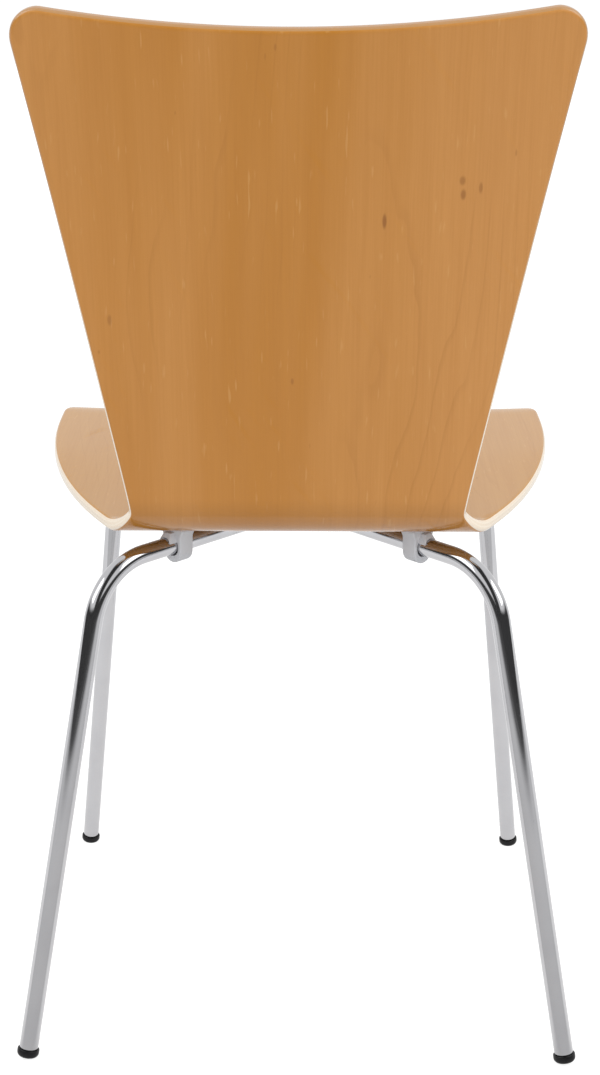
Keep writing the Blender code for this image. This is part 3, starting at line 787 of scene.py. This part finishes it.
def prism(name, outline, start, end):
    """A bar along X from an outline of (across, up) points."""
    points = [(start, across, up) for across, up in outline]
    bar = draw_line(name, points)
    close_outline(points)
    extrude((end - start, 0.0, 0.0))
    bpy.ops.mesh.select_all(action="SELECT")
    bpy.ops.mesh.normals_make_consistent(inside=False)
    return finish_editing(bar)


def spacer_shape():
    """Moulded ring round the rail, flared to a flat face that meets the seat."""
    ring = TUBE_RADIUS + GAP + SPACER_WALL
    wide = ring + SPACER_FLARE
    neck = ring + SPACER_NECK_WALL
    top = TUBE_RADIUS + RAIL_DROP - GAP
    outline = [(wide, top), (-wide, top), (-wide, top - SPACER_BRIM), (-neck, top - SPACER_NECK)]
    outline += arc((0.0, -SPACER_DROP), ring, 180.0, 360.0, RING_STEPS)
    outline += [(neck, top - SPACER_NECK), (wide, top - SPACER_BRIM)]
    half = SPACER_LENGTH / 2.0
    spacer = prism("spacer", outline, -half, half)
    round_edges(spacer, SPACER_EDGE, 5, 50.0)

    top_half, top_height = SPACER_TONGUE_TOP
    root_half, root_height = SPACER_TONGUE_ROOT
    wedge = [(root_half, root_height), (top_half, top_height)]
    wedge += [(-top_half, top_height), (-root_half, root_height)]
    tongue = prism("tongue", wedge, 0.0, half + SPACER_TONGUE)
    bpy.ops.object.mode_set(mode="EDIT")
    choose("verts", lambda vert: vert.co.x > half and vert.co.z > root_height + GAP)
    bpy.ops.transform.translate(value=(-SPACER_TONGUE_SLANT, 0.0, 0.0))
    finish_editing(tongue)
    round_edges(tongue, SPACER_TONGUE_EDGE, 4, 40.0)
    combine(spacer, tongue, "UNION")
    bore = arc((0.0, 0.0), TUBE_RADIUS + GAP, 0.0, 180.0, RING_STEPS)
    bore += arc((0.0, -SPACER_RELIEF), TUBE_RADIUS + GAP, 180.0, 360.0, RING_STEPS)
    combine(spacer, prism("bore", bore, -half - 0.01, half + SPACER_TONGUE + 0.01))
    smooth(spacer)
    return spacer


def glide_shape():
    """Foot cap: a domed head below the tube's end and a ribbed plug inside it."""
    plug = TUBE_RADIUS - TUBE_WALL - GAP
    centre = GLIDE_RADIUS - GLIDE_EDGE
    top = -GAP
    bottom = -GLIDE_HEIGHT
    profile = [(0.0, bottom)]
    for step in range(13):
        angle = math.pi / 2.0 * step / 12.0
        radius = centre + GLIDE_EDGE * math.sin(angle)
        profile.append((radius, bottom + GLIDE_EDGE * (1.0 - math.cos(angle))))
    profile += [(GLIDE_RADIUS - inset, top - drop) for inset, drop in GLIDE_SHOULDER]
    profile.append((plug, top))
    first, bare = GLIDE_RIB_SPAN
    pitch = (GLIDE_PLUG_LENGTH - bare) / GLIDE_RIBS
    groove = plug - GLIDE_RIB_DEPTH
    for index in range(GLIDE_RIBS):
        low = first + pitch * index
        profile += [(groove, low), (groove, low + pitch * 0.4)]
        profile += [(plug, low + pitch * 0.5), (plug, low + pitch * 0.7)]
    profile += [(plug - GLIDE_PLUG_POINT, GLIDE_PLUG_LENGTH), (0.0, GLIDE_PLUG_LENGTH)]
    glide = turn("glide", profile, 64)
    smooth(glide)
    return glide


def set_glide(pattern, name, front, side):
    axis = foot_axis(front)
    axis.x *= side
    end = tube_end(front)
    place = Vector((side * end.x, end.y, end.z))
    matrix = Matrix.Translation(place) @ axis.to_track_quat("Z", "Y").to_matrix().to_4x4()
    glide = copy_of(pattern, name, matrix)
    finish_editing(glide)
    bpy.ops.object.mode_set(mode="EDIT")
    bpy.ops.mesh.select_all(action="SELECT")
    bpy.ops.mesh.bisect(
        plane_co=(0, 0, 0),
        plane_no=(0, 0, 1),
        use_fill=True,
        clear_inner=True,
        threshold=1e-7,
    )
    finish_editing(glide)
    smooth(glide)
    return glide


# ---- nodes ------------------------------------------------------------------------------------
def add(tree, kind, inputs=(), **settings):
    """Add a node, set it, and link or set its inputs."""
    node = tree.nodes.new("ShaderNode" + kind)
    for name, value in settings.items():
        setattr(node, name, value)
    for name, value in dict(inputs).items():
        if isinstance(value, bpy.types.NodeSocket):
            tree.links.new(value, node.inputs[name])
        else:
            node.inputs[name].default_value = value
    return node


def calculate(tree, operation, first, second=0.0):
    return add(tree, "Math", {0: first, 1: second}, operation=operation).outputs[0]


def scaled(tree, value, factor):
    return calculate(tree, "MULTIPLY", value, factor)


def total(tree, first, *others):
    for other in others:
        first = calculate(tree, "ADD", first, other)
    return first


def stretch(tree, vector, scale):
    return add(tree, "VectorMath", {0: vector, 1: scale}, operation="MULTIPLY").outputs[0]


def noise(tree, vector, scale, detail=2.0, rough=0.5, distortion=0.0):
    inputs = {
        "Vector": vector,
        "Scale": scale,
        "Detail": detail,
        "Roughness": rough,
        "Distortion": distortion,
    }
    return add(tree, "TexNoise", inputs).outputs["Fac"]


def remap(tree, value, low, high, start=0.0, end=1.0):
    inputs = {"Value": value, "From Min": low, "From Max": high, "To Min": start, "To Max": end}
    return add(tree, "MapRange", inputs, interpolation_type="SMOOTHSTEP").outputs["Result"]


def blend_colour(tree, share, first, second):
    node = add(tree, "Mix", {0: share}, data_type="RGBA")
    for socket, value in ((node.inputs[6], first), (node.inputs[7], second)):
        if isinstance(value, bpy.types.NodeSocket):
            tree.links.new(value, socket)
        else:
            socket.default_value = (*value, 1.0)
    return node.outputs[2]


def new_group(name, inputs, outputs):
    """An empty shader group with float, vector or colour sockets."""
    group = bpy.data.node_groups.new(name, "ShaderNodeTree")
    for direction, sockets in (("INPUT", inputs), ("OUTPUT", outputs)):
        for label, kind in sockets:
            group.interface.new_socket(label, in_out=direction, socket_type="NodeSocket" + kind)
    source = group.nodes.new("NodeGroupInput")
    result = group.nodes.new("NodeGroupOutput")
    return group, source.outputs, result.inputs


def place_group(tree, group, inputs):
    node = tree.nodes.new("ShaderNodeGroup")
    node.node_tree = group
    for name, value in inputs.items():
        if isinstance(value, bpy.types.NodeSocket):
            tree.links.new(value, node.inputs[name])
        else:
            node.inputs[name].default_value = value
    return node.outputs


def wood_grain_group():
    """Grain along Y: streaks, broad bands, growth lines dark on one side, flecks and pins."""
    outputs = [(name, "Float") for name in ("Streaks", "Bands", "Growth", "Flecks", "Pins")]
    group, given, result = new_group("wood_grain", [("Vector", "Vector")], outputs)
    vector = given["Vector"]
    link = group.links.new
    fine = noise(group, stretch(group, vector, (1.0, 0.020, 1.0)), 640.0, 4.0, 0.62)
    coarse = noise(group, stretch(group, vector, (1.0, 0.030, 1.0)), 130.0, 3.0, 0.55)
    streaks = remap(group, fine, 0.32, 0.70, 0.0, 0.6)
    link(total(group, streaks, remap(group, coarse, 0.35, 0.68, 0.0, 0.4)), result["Streaks"])
    bands = noise(group, stretch(group, vector, (1.0, 0.10, 1.0)), 16.0, 2.0, 0.5, 0.3)
    link(remap(group, bands, 0.34, 0.66), result["Bands"])
    across = add(group, "SeparateXYZ", {0: vector}).outputs["X"]
    sway = noise(group, stretch(group, vector, (1.0, 0.22, 1.0)), 6.5, 1.0, 0.4)
    waver = noise(group, stretch(group, vector, (1.0, 0.30, 1.0)), 34.0, 2.0, 0.5)
    parts = [scaled(group, part, by) for part, by in ((across, 58.0), (sway, 16.0), (waver, 0.9))]
    saw = calculate(group, "FRACT", total(group, *parts))
    lines = remap(group, saw, 0.80, 0.97)
    lines = calculate(group, "MULTIPLY", lines, remap(group, saw, 1.0, 0.97))
    present = noise(group, stretch(group, vector, (1.0, 0.35, 1.0)), 9.0, 1.0, 0.5)
    link(calculate(group, "MULTIPLY", lines, remap(group, present, 0.42, 0.66)), result["Growth"])
    flecks = noise(group, stretch(group, vector, (1.0, 0.13, 1.0)), 340.0, 1.0, 0.4)
    link(remap(group, flecks, 0.68, 0.80), result["Flecks"])
    pins = noise(group, stretch(group, vector, (1.0, 0.42, 1.0)), 150.0, 0.0, 0.4)
    link(remap(group, pins, 0.84, 0.90), result["Pins"])
    return group


def handling_group():
    """Marks of use: a cloudy film where hands and cloths have passed, and thin scuffs."""
    group, given, result = new_group(
        "handling",
        [("Vector", "Vector"), ("Film Size", "Float"), ("Scuff Size", "Float")],
        [("Film", "Float"), ("Scuffs", "Float")],
    )
    vector = given["Vector"]
    film = add(group, "TexNoise", {"Vector": vector, "Scale": given["Film Size"], "Detail": 4.0})
    group.links.new(remap(group, film.outputs["Fac"], 0.35, 0.70), result["Film"])
    slant = add(group, "VectorRotate", {"Vector": vector, "Angle": 0.6}, rotation_type="Z_AXIS")
    thin = stretch(group, slant.outputs[0], (1.0, 0.08, 0.35))
    scuffs = add(group, "TexNoise", {"Vector": thin, "Scale": given["Scuff Size"], "Detail": 3.0})
    group.links.new(remap(group, scuffs.outputs["Fac"], 0.64, 0.72), result["Scuffs"])
    return group


def new_material(name):
    material = bpy.data.materials.new(name)
    material.use_nodes = True
    tree = material.node_tree
    return material, tree, tree.nodes["Principled BSDF"]


def object_vector(tree):
    return add(tree, "TexCoord").outputs["Object"]


def bump(tree, shader, height, distance, strength=1.0):
    inputs = {"Height": height, "Distance": distance, "Strength": strength}
    tree.links.new(add(tree, "Bump", inputs).outputs[0], shader.inputs["Normal"])


# ---- finishes ---------------------------------------------------------------------------------
VENEER_THICKNESS = 0.0007
PLIES = 6                    # between the two veneers
OTHER_LEAF = (0.61, 0.37, 0.0)            # the inner face is cut from this far along the log
VENEER = {
    "ground": (0.482, 0.199, 0.030),
    "band": (0.540, 0.242, 0.057),
    # sides: painted light, the lighter and less saturated tone towards the shell's sides, stronger
    # on the right, where more light falls
    "sides": (0.575, 0.268, 0.078),
    "inner": (0.520, 0.300, 0.085),
    "streak": (0.400, 0.155, 0.024),
    "growth": (0.330, 0.125, 0.020),
    "fleck": (0.680, 0.400, 0.150),
    "mark": (0.250, 0.090, 0.018),
}
# the plies at the edge: on the seat pale bare ply, made paler still as a painted highlight; stained
# on the back
LIGHT_PLY = ((0.900, 0.800, 0.660), (0.480, 0.268, 0.118))
DARK_PLY = ((0.870, 0.750, 0.600), (0.440, 0.232, 0.094))
PLY_SPECKLE = (0.420, 0.230, 0.095)
GLUE = (0.340, 0.175, 0.070)
# small brown marks in the outer veneer: place across and along the blank, size and strength
VENEER_MARKS = (
    (-0.124, 0.322, 0.0044, 0.0066, 0.50),
    (-0.125, 0.311, 0.0038, 0.0076, 0.60),
    (-0.138, 0.316, 0.0028, 0.0080, 0.50),
    (-0.066, 0.291, 0.0030, 0.0110, 0.75),
    (0.147, 0.209, 0.0034, 0.0080, 0.40),
    (0.004, 0.159, 0.0022, 0.0050, 0.45),
    (0.016, 0.425, 0.0020, 0.0050, 0.30),
)
CHROME = ((0.575, 0.575, 0.592), (0.545, 0.545, 0.564))
ZINC = (0.62, 0.62, 0.60)
BRIGHT_ZINC = (0.66, 0.66, 0.65)
BRASS = (0.66, 0.52, 0.26)
GREY_PLASTIC = ((0.57, 0.58, 0.61), (0.66, 0.67, 0.69))
BLACK_PLASTIC = ((0.006, 0.006, 0.007), (0.020, 0.020, 0.020))
RUBBER = ((0.022, 0.022, 0.022), (0.060, 0.060, 0.060))


def mark(tree, vector, x, y, width, length, strength):
    """A soft spot, longer along the grain."""
    near = add(tree, "VectorMath", {0: vector, 1: (x, y, 0.0)}, operation="SUBTRACT").outputs[0]
    near = stretch(tree, near, (1.0 / width, 1.0 / length, 0.0))
    reach = add(tree, "VectorMath", {0: near}, operation="LENGTH").outputs["Value"]
    return remap(tree, reach, 0.75, 0.25, 0.0, strength)


def varnished_ply(grain, handling):
    """Honey veneer on both faces, painted lighter towards the sides, the pale plies at the rounded
    edge, on the seat paler still as a painted highlight, satin varnish over all.
    """
    material, tree, shader = new_material("varnished_ply")
    link = tree.links.new
    blank = add(tree, "Attribute", attribute_name="blank").outputs["Vector"]
    place = add(tree, "SeparateXYZ", {0: blank}).outputs
    across, along, through = place["X"], place["Y"], place["Z"]

    inner = calculate(tree, "GREATER_THAN", through, 0.0)
    other_leaf = add(tree, "VectorMath", {0: OTHER_LEAF, "Scale": inner}, operation="SCALE")
    leaf = add(tree, "VectorMath", {0: blank, 1: other_leaf.outputs[0]}, operation="ADD").outputs[0]
    face = place_group(tree, grain, {"Vector": leaf})
    # painted light: the veneer is made lighter towards both sides of the shell, more on the right,
    # where the light falls more strongly
    left = remap(tree, across, 0.06, 0.20, 0.0, 0.45)
    right = remap(tree, across, -0.03, -0.17, 0.0, 0.85)
    marks = scaled(tree, face["Pins"], 0.5)
    for x, y, width, length, strength in VENEER_MARKS:
        marks = calculate(tree, "MAXIMUM", marks, mark(tree, leaf, x, y, width, length, strength))
    layers = (
        # sides: painted light on the veneer
        ("sides", total(tree, left, right)),
        ("inner", scaled(tree, inner, 0.55)),
        ("streak", scaled(tree, face["Streaks"], 0.26)),
        ("growth", scaled(tree, face["Growth"], 0.20)),
        ("fleck", scaled(tree, face["Flecks"], 0.24)),
        ("mark", marks),
    )
    colour = blend_colour(tree, face["Bands"], VENEER["ground"], VENEER["band"])
    for name, share in layers:
        colour = blend_colour(tree, share, colour, VENEER[name])

    ply = (PLY_THICKNESS - 2.0 * VENEER_THICKNESS) / PLIES
    counted = total(tree, calculate(tree, "DIVIDE", through, ply), PLIES / 2.0)
    odd = calculate(tree, "MODULO", calculate(tree, "FLOOR", counted), 2.0)
    middle = calculate(tree, "SUBTRACT", calculate(tree, "FRACT", counted), 0.5)
    glue_line = remap(tree, calculate(tree, "ABSOLUTE", middle), 0.44, 0.50)
    fibres = noise(tree, stretch(tree, blank, (1.0, 1.0, 0.5)), 1500.0, 3.0, 0.6)
    # painted highlight: the plies at the seat's edge are paler than bare ply, to show the light the
    # rim catches; up the back they turn to the stained edge
    bare_highlit_seat_to_stained_back = remap(tree, along, 0.12, 0.38)
    light_ply = blend_colour(tree, bare_highlit_seat_to_stained_back, *LIGHT_PLY)
    dark_ply = blend_colour(tree, bare_highlit_seat_to_stained_back, *DARK_PLY)
    cut_edge = blend_colour(tree, odd, light_ply, dark_ply)
    speckle = scaled(tree, remap(tree, fibres, 0.35, 0.75), 0.16)
    cut_edge = blend_colour(tree, speckle, cut_edge, PLY_SPECKLE)
    cut_edge = blend_colour(tree, scaled(tree, glue_line, 0.14), cut_edge, GLUE)

    depth = calculate(tree, "ABSOLUTE", through)
    bottom = PLY_THICKNESS / 2.0 - VENEER_THICKNESS
    skin = remap(tree, depth, bottom - 0.00015, bottom + 0.00005)
    link(blend_colour(tree, skin, cut_edge, colour), shader.inputs["Base Color"])
    sizes = {"Vector": blank, "Film Size": 9.0, "Scuff Size": 160.0}
    handled = place_group(tree, handling, sizes)
    gloss = remap(tree, handled["Film"], 0.0, 1.0, 0.20, 0.27)
    worn = scaled(tree, handled["Scuffs"], 0.10)
    link(total(tree, gloss, worn), shader.inputs["Roughness"])
    thin = scaled(tree, handled["Scuffs"], 0.25)
    link(calculate(tree, "SUBTRACT", 1.0, thin), shader.inputs["Coat Weight"])
    relief = total(tree, face["Streaks"], scaled(tree, fibres, 0.5))
    bump(tree, shader, relief, 0.00006, 0.5)
    shader.inputs["Specular IOR Level"].default_value = 0.0
    shader.inputs["Coat Roughness"].default_value = 0.12
    return material


def chrome_plate(handling):
    """Bright plating with a thin film, fine scuffs and a trace of ripple."""
    material, tree, shader = new_material("chrome_plate")
    place = object_vector(tree)
    marks = place_group(tree, handling, {"Vector": place, "Film Size": 26.0, "Scuff Size": 420.0})
    colour = blend_colour(tree, marks["Film"], *CHROME)
    tree.links.new(colour, shader.inputs["Base Color"])
    shader.inputs["Metallic"].default_value = 1.0
    film = scaled(tree, marks["Film"], 0.035)
    scuffs = scaled(tree, marks["Scuffs"], 0.10)
    tree.links.new(total(tree, film, scuffs, 0.045), shader.inputs["Roughness"])
    bump(tree, shader, noise(tree, place, 260.0, 2.0, 0.4), 0.00002, 0.25)
    return material


def zinc_plate(handling, name, colour, rough):
    """Plated or bare metal, duller and rougher where the film lies."""
    material, tree, shader = new_material(name)
    place = object_vector(tree)
    marks = place_group(tree, handling, {"Vector": place, "Film Size": 90.0, "Scuff Size": 700.0})
    dull = tuple(0.72 * part for part in colour)
    share = scaled(tree, marks["Film"], 0.8)
    tree.links.new(blend_colour(tree, share, colour, dull), shader.inputs["Base Color"])
    shader.inputs["Metallic"].default_value = 1.0
    worn = scaled(tree, marks["Scuffs"], 0.18)
    haze = scaled(tree, marks["Film"], 0.12)
    tree.links.new(total(tree, worn, haze, rough), shader.inputs["Roughness"])
    bump(tree, shader, noise(tree, place, 2200.0, 2.0, 0.5), 0.00003, 0.35)
    return material


def moulded_plastic(handling, name, colours, rough, texture, shine):
    """Plastic with the fine texture of its mould, paler and smoother where it is handled."""
    material, tree, shader = new_material(name)
    place = object_vector(tree)
    marks = place_group(tree, handling, {"Vector": place, "Film Size": 60.0, "Scuff Size": 520.0})
    film = scaled(tree, marks["Film"], 0.30)
    share = total(tree, film, scaled(tree, marks["Scuffs"], 0.35))
    tree.links.new(blend_colour(tree, share, *colours), shader.inputs["Base Color"])
    haze = scaled(tree, marks["Film"], -0.08)
    tree.links.new(total(tree, haze, rough), shader.inputs["Roughness"])
    bump(tree, shader, noise(tree, place, texture, 2.0, 0.5), 0.00005, 0.5)
    shader.inputs["Specular IOR Level"].default_value = shine
    return material


# ---- the pieces in their places ---------------------------------------------------------------
def build_chair():
    grain = wood_grain_group()
    handling = handling_group()
    ply = varnished_ply(grain, handling)
    chrome = chrome_plate(handling)
    zinc = zinc_plate(handling, "zinc_plate", ZINC, 0.34)
    bright_zinc = zinc_plate(handling, "bright_zinc", BRIGHT_ZINC, 0.26)
    brass = zinc_plate(handling, "yellow_brass", BRASS, 0.28)
    grey = moulded_plastic(handling, "grey_plastic", GREY_PLASTIC, 0.50, 2400.0, 0.5)
    black = moulded_plastic(handling, "black_plastic", BLACK_PLASTIC, 0.38, 1800.0, 0.25)
    rubber = moulded_plastic(handling, "rubber", RUBBER, 0.70, 1500.0, 0.30)

    fit(press_shell(), ply, "veneer", "seat_shell")
    for name, side in (("left", 1.0), ("right", -1.0)):
        fit(bend_tube("tube_" + name, side), chrome, "chrome", "frame_tube_" + name)
        for end, reach in (("front", -WELD_REACH), ("rear", WELD_REACH)):
            fit(weld(f"weld_{end}_{name}", side, reach), chrome, "chrome")

    low, high = plate_levels()
    hole = SCREW_SHANK + PLATE_HOLE_PLAY
    plate = pierced_sheet("plate", *PLATE_SIZE, low, high, hole, 0.0004)
    fit(plate, zinc, "plate_steel", "centre_plate")
    pad_size = [size - 2.0 * PAD_MARGIN for size in PLATE_SIZE]
    hole = SCREW_SHANK + PAD_HOLE_PLAY
    pad = pierced_sheet("pad", *pad_size, high + GAP, -GAP, hole, 0.0005)
    fit(pad, rubber, "pad_plastic", "mounting_pad")

    fasteners = (
        (washer_shape(), "washer", bright_zinc, "fastener_steel"),
        (screw_shape(), "screw", bright_zinc, "fastener_steel"),
        (insert_shape(), "insert", brass, "insert_steel"),
    )
    for pattern, kind, material, slot in fasteners:
        for place, (x, y) in SCREW_PLACES.items():
            matrix = mounting_frame() @ Matrix.Translation((x, y, 0.0))
            piece = copy_of(pattern, f"{kind}_at_{place}", matrix)
            fit(piece, material, slot, f"{kind}_{place}")
        bpy.data.objects.remove(pattern, do_unlink=True)

    spacer = spacer_shape()
    glide = glide_shape()
    for end, front in (("front", True), ("rear", False)):
        for name, side in (("left", 1.0), ("right", -1.0)):
            corner = f"{end}_{name}"
            piece = copy_of(spacer, "seat_spacer_" + corner, spacer_place(front, side))
            fit(piece, grey, "grey_plastic", "spacer_" + corner)
            foot = set_glide(glide, "foot_glide_" + corner, front, side)
            fit(foot, black, "black_plastic", "glide_" + corner)
    bpy.data.objects.remove(spacer, do_unlink=True)
    bpy.data.objects.remove(glide, do_unlink=True)


# ---- studio -----------------------------------------------------------------------------------
PAPER = ((0.44, 0.44, 0.44), (0.46, 0.46, 0.46))
PAPER_GLOW = 0.78            # as the lens sees it
PAPER_SHINE = 0.55           # as reflections show it
# tone of the dark sheets that stand in for shade in reflections
SHADE_SHEET_TONE = 0.09
ROOM_RADIUS = 9.0
SURROUND = 0.93
SURROUND_SEEN = 0.10         # the surround is this much brighter to the lens
# name, size, power, place, aim, and whether it shows in reflections
LIGHTS = (
    ("left_light", (1.3, 1.3), 11.0, (1.9, 0.9, 2.0), (0.0, 0.1, 0.5), True),
    ("right_light", (1.3, 1.3), 13.0, (-1.9, 0.9, 2.0), (0.0, 0.1, 0.5), True),
    ("low_light", (2.4, 1.0), 28.0, (-0.3, 3.3, 0.75), (0.0, 0.1, 0.6), False),
)
CAMERA_LENS = 63.63
CAMERA_SENSOR = 36.0
CAMERA_SHIFT = 0.0285
CAMERA_PLACE = (-0.0108, REAR_FEET_Y + 1.4368, 0.8463)
CAMERA_PITCH = math.radians(15.149)
CAMERA_YAW = math.radians(180.0 + 1.278)
CAMERA_ROLL = math.radians(-0.103)


def lay_floor():
    """Pale paper, lit through from below, so that it shows white to the lens and in the chrome."""
    bpy.ops.object.select_all(action="DESELECT")
    bpy.ops.mesh.primitive_plane_add(size=80.0, location=(0.0, 0.0, 0.0))
    floor = bpy.context.object
    floor.name = "floor"
    material, tree, shader = new_material("floor_paper")
    tooth = noise(tree, object_vector(tree), 900.0, 2.0)
    colour = blend_colour(tree, tooth, *PAPER)
    tree.links.new(colour, shader.inputs["Base Color"])
    shader.inputs["Roughness"].default_value = 0.9
    shader.inputs["Specular IOR Level"].default_value = 0.0
    shader.inputs["Emission Color"].default_value = (1.0, 1.0, 1.0, 1.0)
    rays = add(tree, "LightPath").outputs
    glow = scaled(tree, rays["Is Camera Ray"], PAPER_GLOW)
    shine = scaled(tree, rays["Is Glossy Ray"], PAPER_SHINE)
    tree.links.new(total(tree, glow, shine), shader.inputs["Emission Strength"])
    floor.data.materials.append(material)


def hide_but_in_reflections(card):
    for ray in ("camera", "diffuse", "shadow", "transmission"):
        setattr(card, "visible_" + ray, False)


def shade_sheet(name, mask):
    """Painted shade: a dark, unlit sheet that fades in where the mask says."""
    material, tree, shader = new_material(name)
    shader.inputs["Base Color"].default_value = (SHADE_SHEET_TONE, SHADE_SHEET_TONE, SHADE_SHEET_TONE, 1.0)
    shader.inputs["Roughness"].default_value = 1.0
    shader.inputs["Specular IOR Level"].default_value = 0.0
    tree.links.new(mask(tree), shader.inputs["Alpha"])
    return material


def hang_dark_room():
    """The unlit part of the studio behind the lens: walls with a dark ceiling between two soft
    lights, and the floor before them."""
    radius = ROOM_RADIUS
    bpy.ops.object.select_all(action="DESELECT")
    bpy.ops.mesh.primitive_uv_sphere_add(segments=64, ring_count=32, radius=radius)
    room = begin("dark_room")
    choose("verts", lambda vert: vert.co.z < -0.01 or vert.co.y < -0.5 * radius)
    bpy.ops.mesh.delete(type="VERT")
    finish_editing(room)

    def room_mask(tree):
        heading = stretch(tree, object_vector(tree), [1.0 / radius] * 3)
        place = add(tree, "SeparateXYZ", {0: heading}).outputs
        behind = remap(tree, place["Y"], -0.46, -0.05)
        walls = scaled(tree, remap(tree, place["Z"], 0.42, 0.26), behind)
        middle = remap(tree, calculate(tree, "ABSOLUTE", place["X"]), 0.36, 0.20)
        ceiling = scaled(tree, middle, remap(tree, place["Y"], -0.10, 0.10))
        return calculate(tree, "MAXIMUM", walls, ceiling)

    room.data.materials.append(shade_sheet("dark_room", room_mask))
    hide_but_in_reflections(room)

    bpy.ops.object.select_all(action="DESELECT")
    bpy.ops.mesh.primitive_plane_add(size=24.0, location=(0.0, 0.0, 0.003))
    shade = bpy.context.object
    shade.name = "dark_floor"

    # painted shade: a dark sheet on the floor, seen only in reflections, darkens the floor from the
    # rear feet towards the lens, more with distance, where the floor lies in shade
    def floor_mask(tree):
        behind = add(tree, "SeparateXYZ", {0: object_vector(tree)}).outputs["Y"]
        near = remap(tree, behind, 0.22, 0.25, 0.0, 0.35)
        return total(tree, near, remap(tree, behind, 0.75, 2.5, 0.0, 0.67))

    shade.data.materials.append(shade_sheet("dark_floor", floor_mask))
    hide_but_in_reflections(shade)


def soft_light(name, size, power, location, target, reflected):
    data = bpy.data.lights.new(name, "AREA")
    data.shape = "RECTANGLE"
    data.size, data.size_y = size
    data.energy = power
    light = bpy.data.objects.new(name, data)
    bpy.context.scene.collection.objects.link(light)
    light.location = location
    aim = Vector(target) - Vector(location)
    light.rotation_euler = aim.to_track_quat("-Z", "Y").to_euler()
    light.visible_glossy = reflected


def light_studio():
    world = bpy.data.worlds.new("studio")
    bpy.context.scene.world = world
    world.use_nodes = True
    tree = world.node_tree
    background = tree.nodes["Background"]
    background.inputs["Color"].default_value = (1.0, 1.0, 1.0, 1.0)
    seen = scaled(tree, add(tree, "LightPath").outputs["Is Camera Ray"], SURROUND_SEEN)
    tree.links.new(total(tree, seen, SURROUND), background.inputs["Strength"])
    for light in LIGHTS:
        soft_light(*light)
    hang_dark_room()


def set_camera():
    data = bpy.data.cameras.new("camera")
    data.lens = CAMERA_LENS
    data.sensor_width = CAMERA_SENSOR
    data.shift_x = CAMERA_SHIFT
    camera = bpy.data.objects.new("camera", data)
    bpy.context.scene.collection.objects.link(camera)
    turned = Matrix.Rotation(CAMERA_YAW, 4, "Z")
    turned = turned @ Matrix.Rotation(math.pi / 2.0 - CAMERA_PITCH, 4, "X")
    place = Matrix.Translation(CAMERA_PLACE)
    camera.matrix_world = place @ turned @ Matrix.Rotation(CAMERA_ROLL, 4, "Z")
    bpy.context.scene.camera = camera
    bpy.context.scene.view_settings.view_transform = "Standard"


build_chair()
lay_floor()
light_studio()
set_camera()
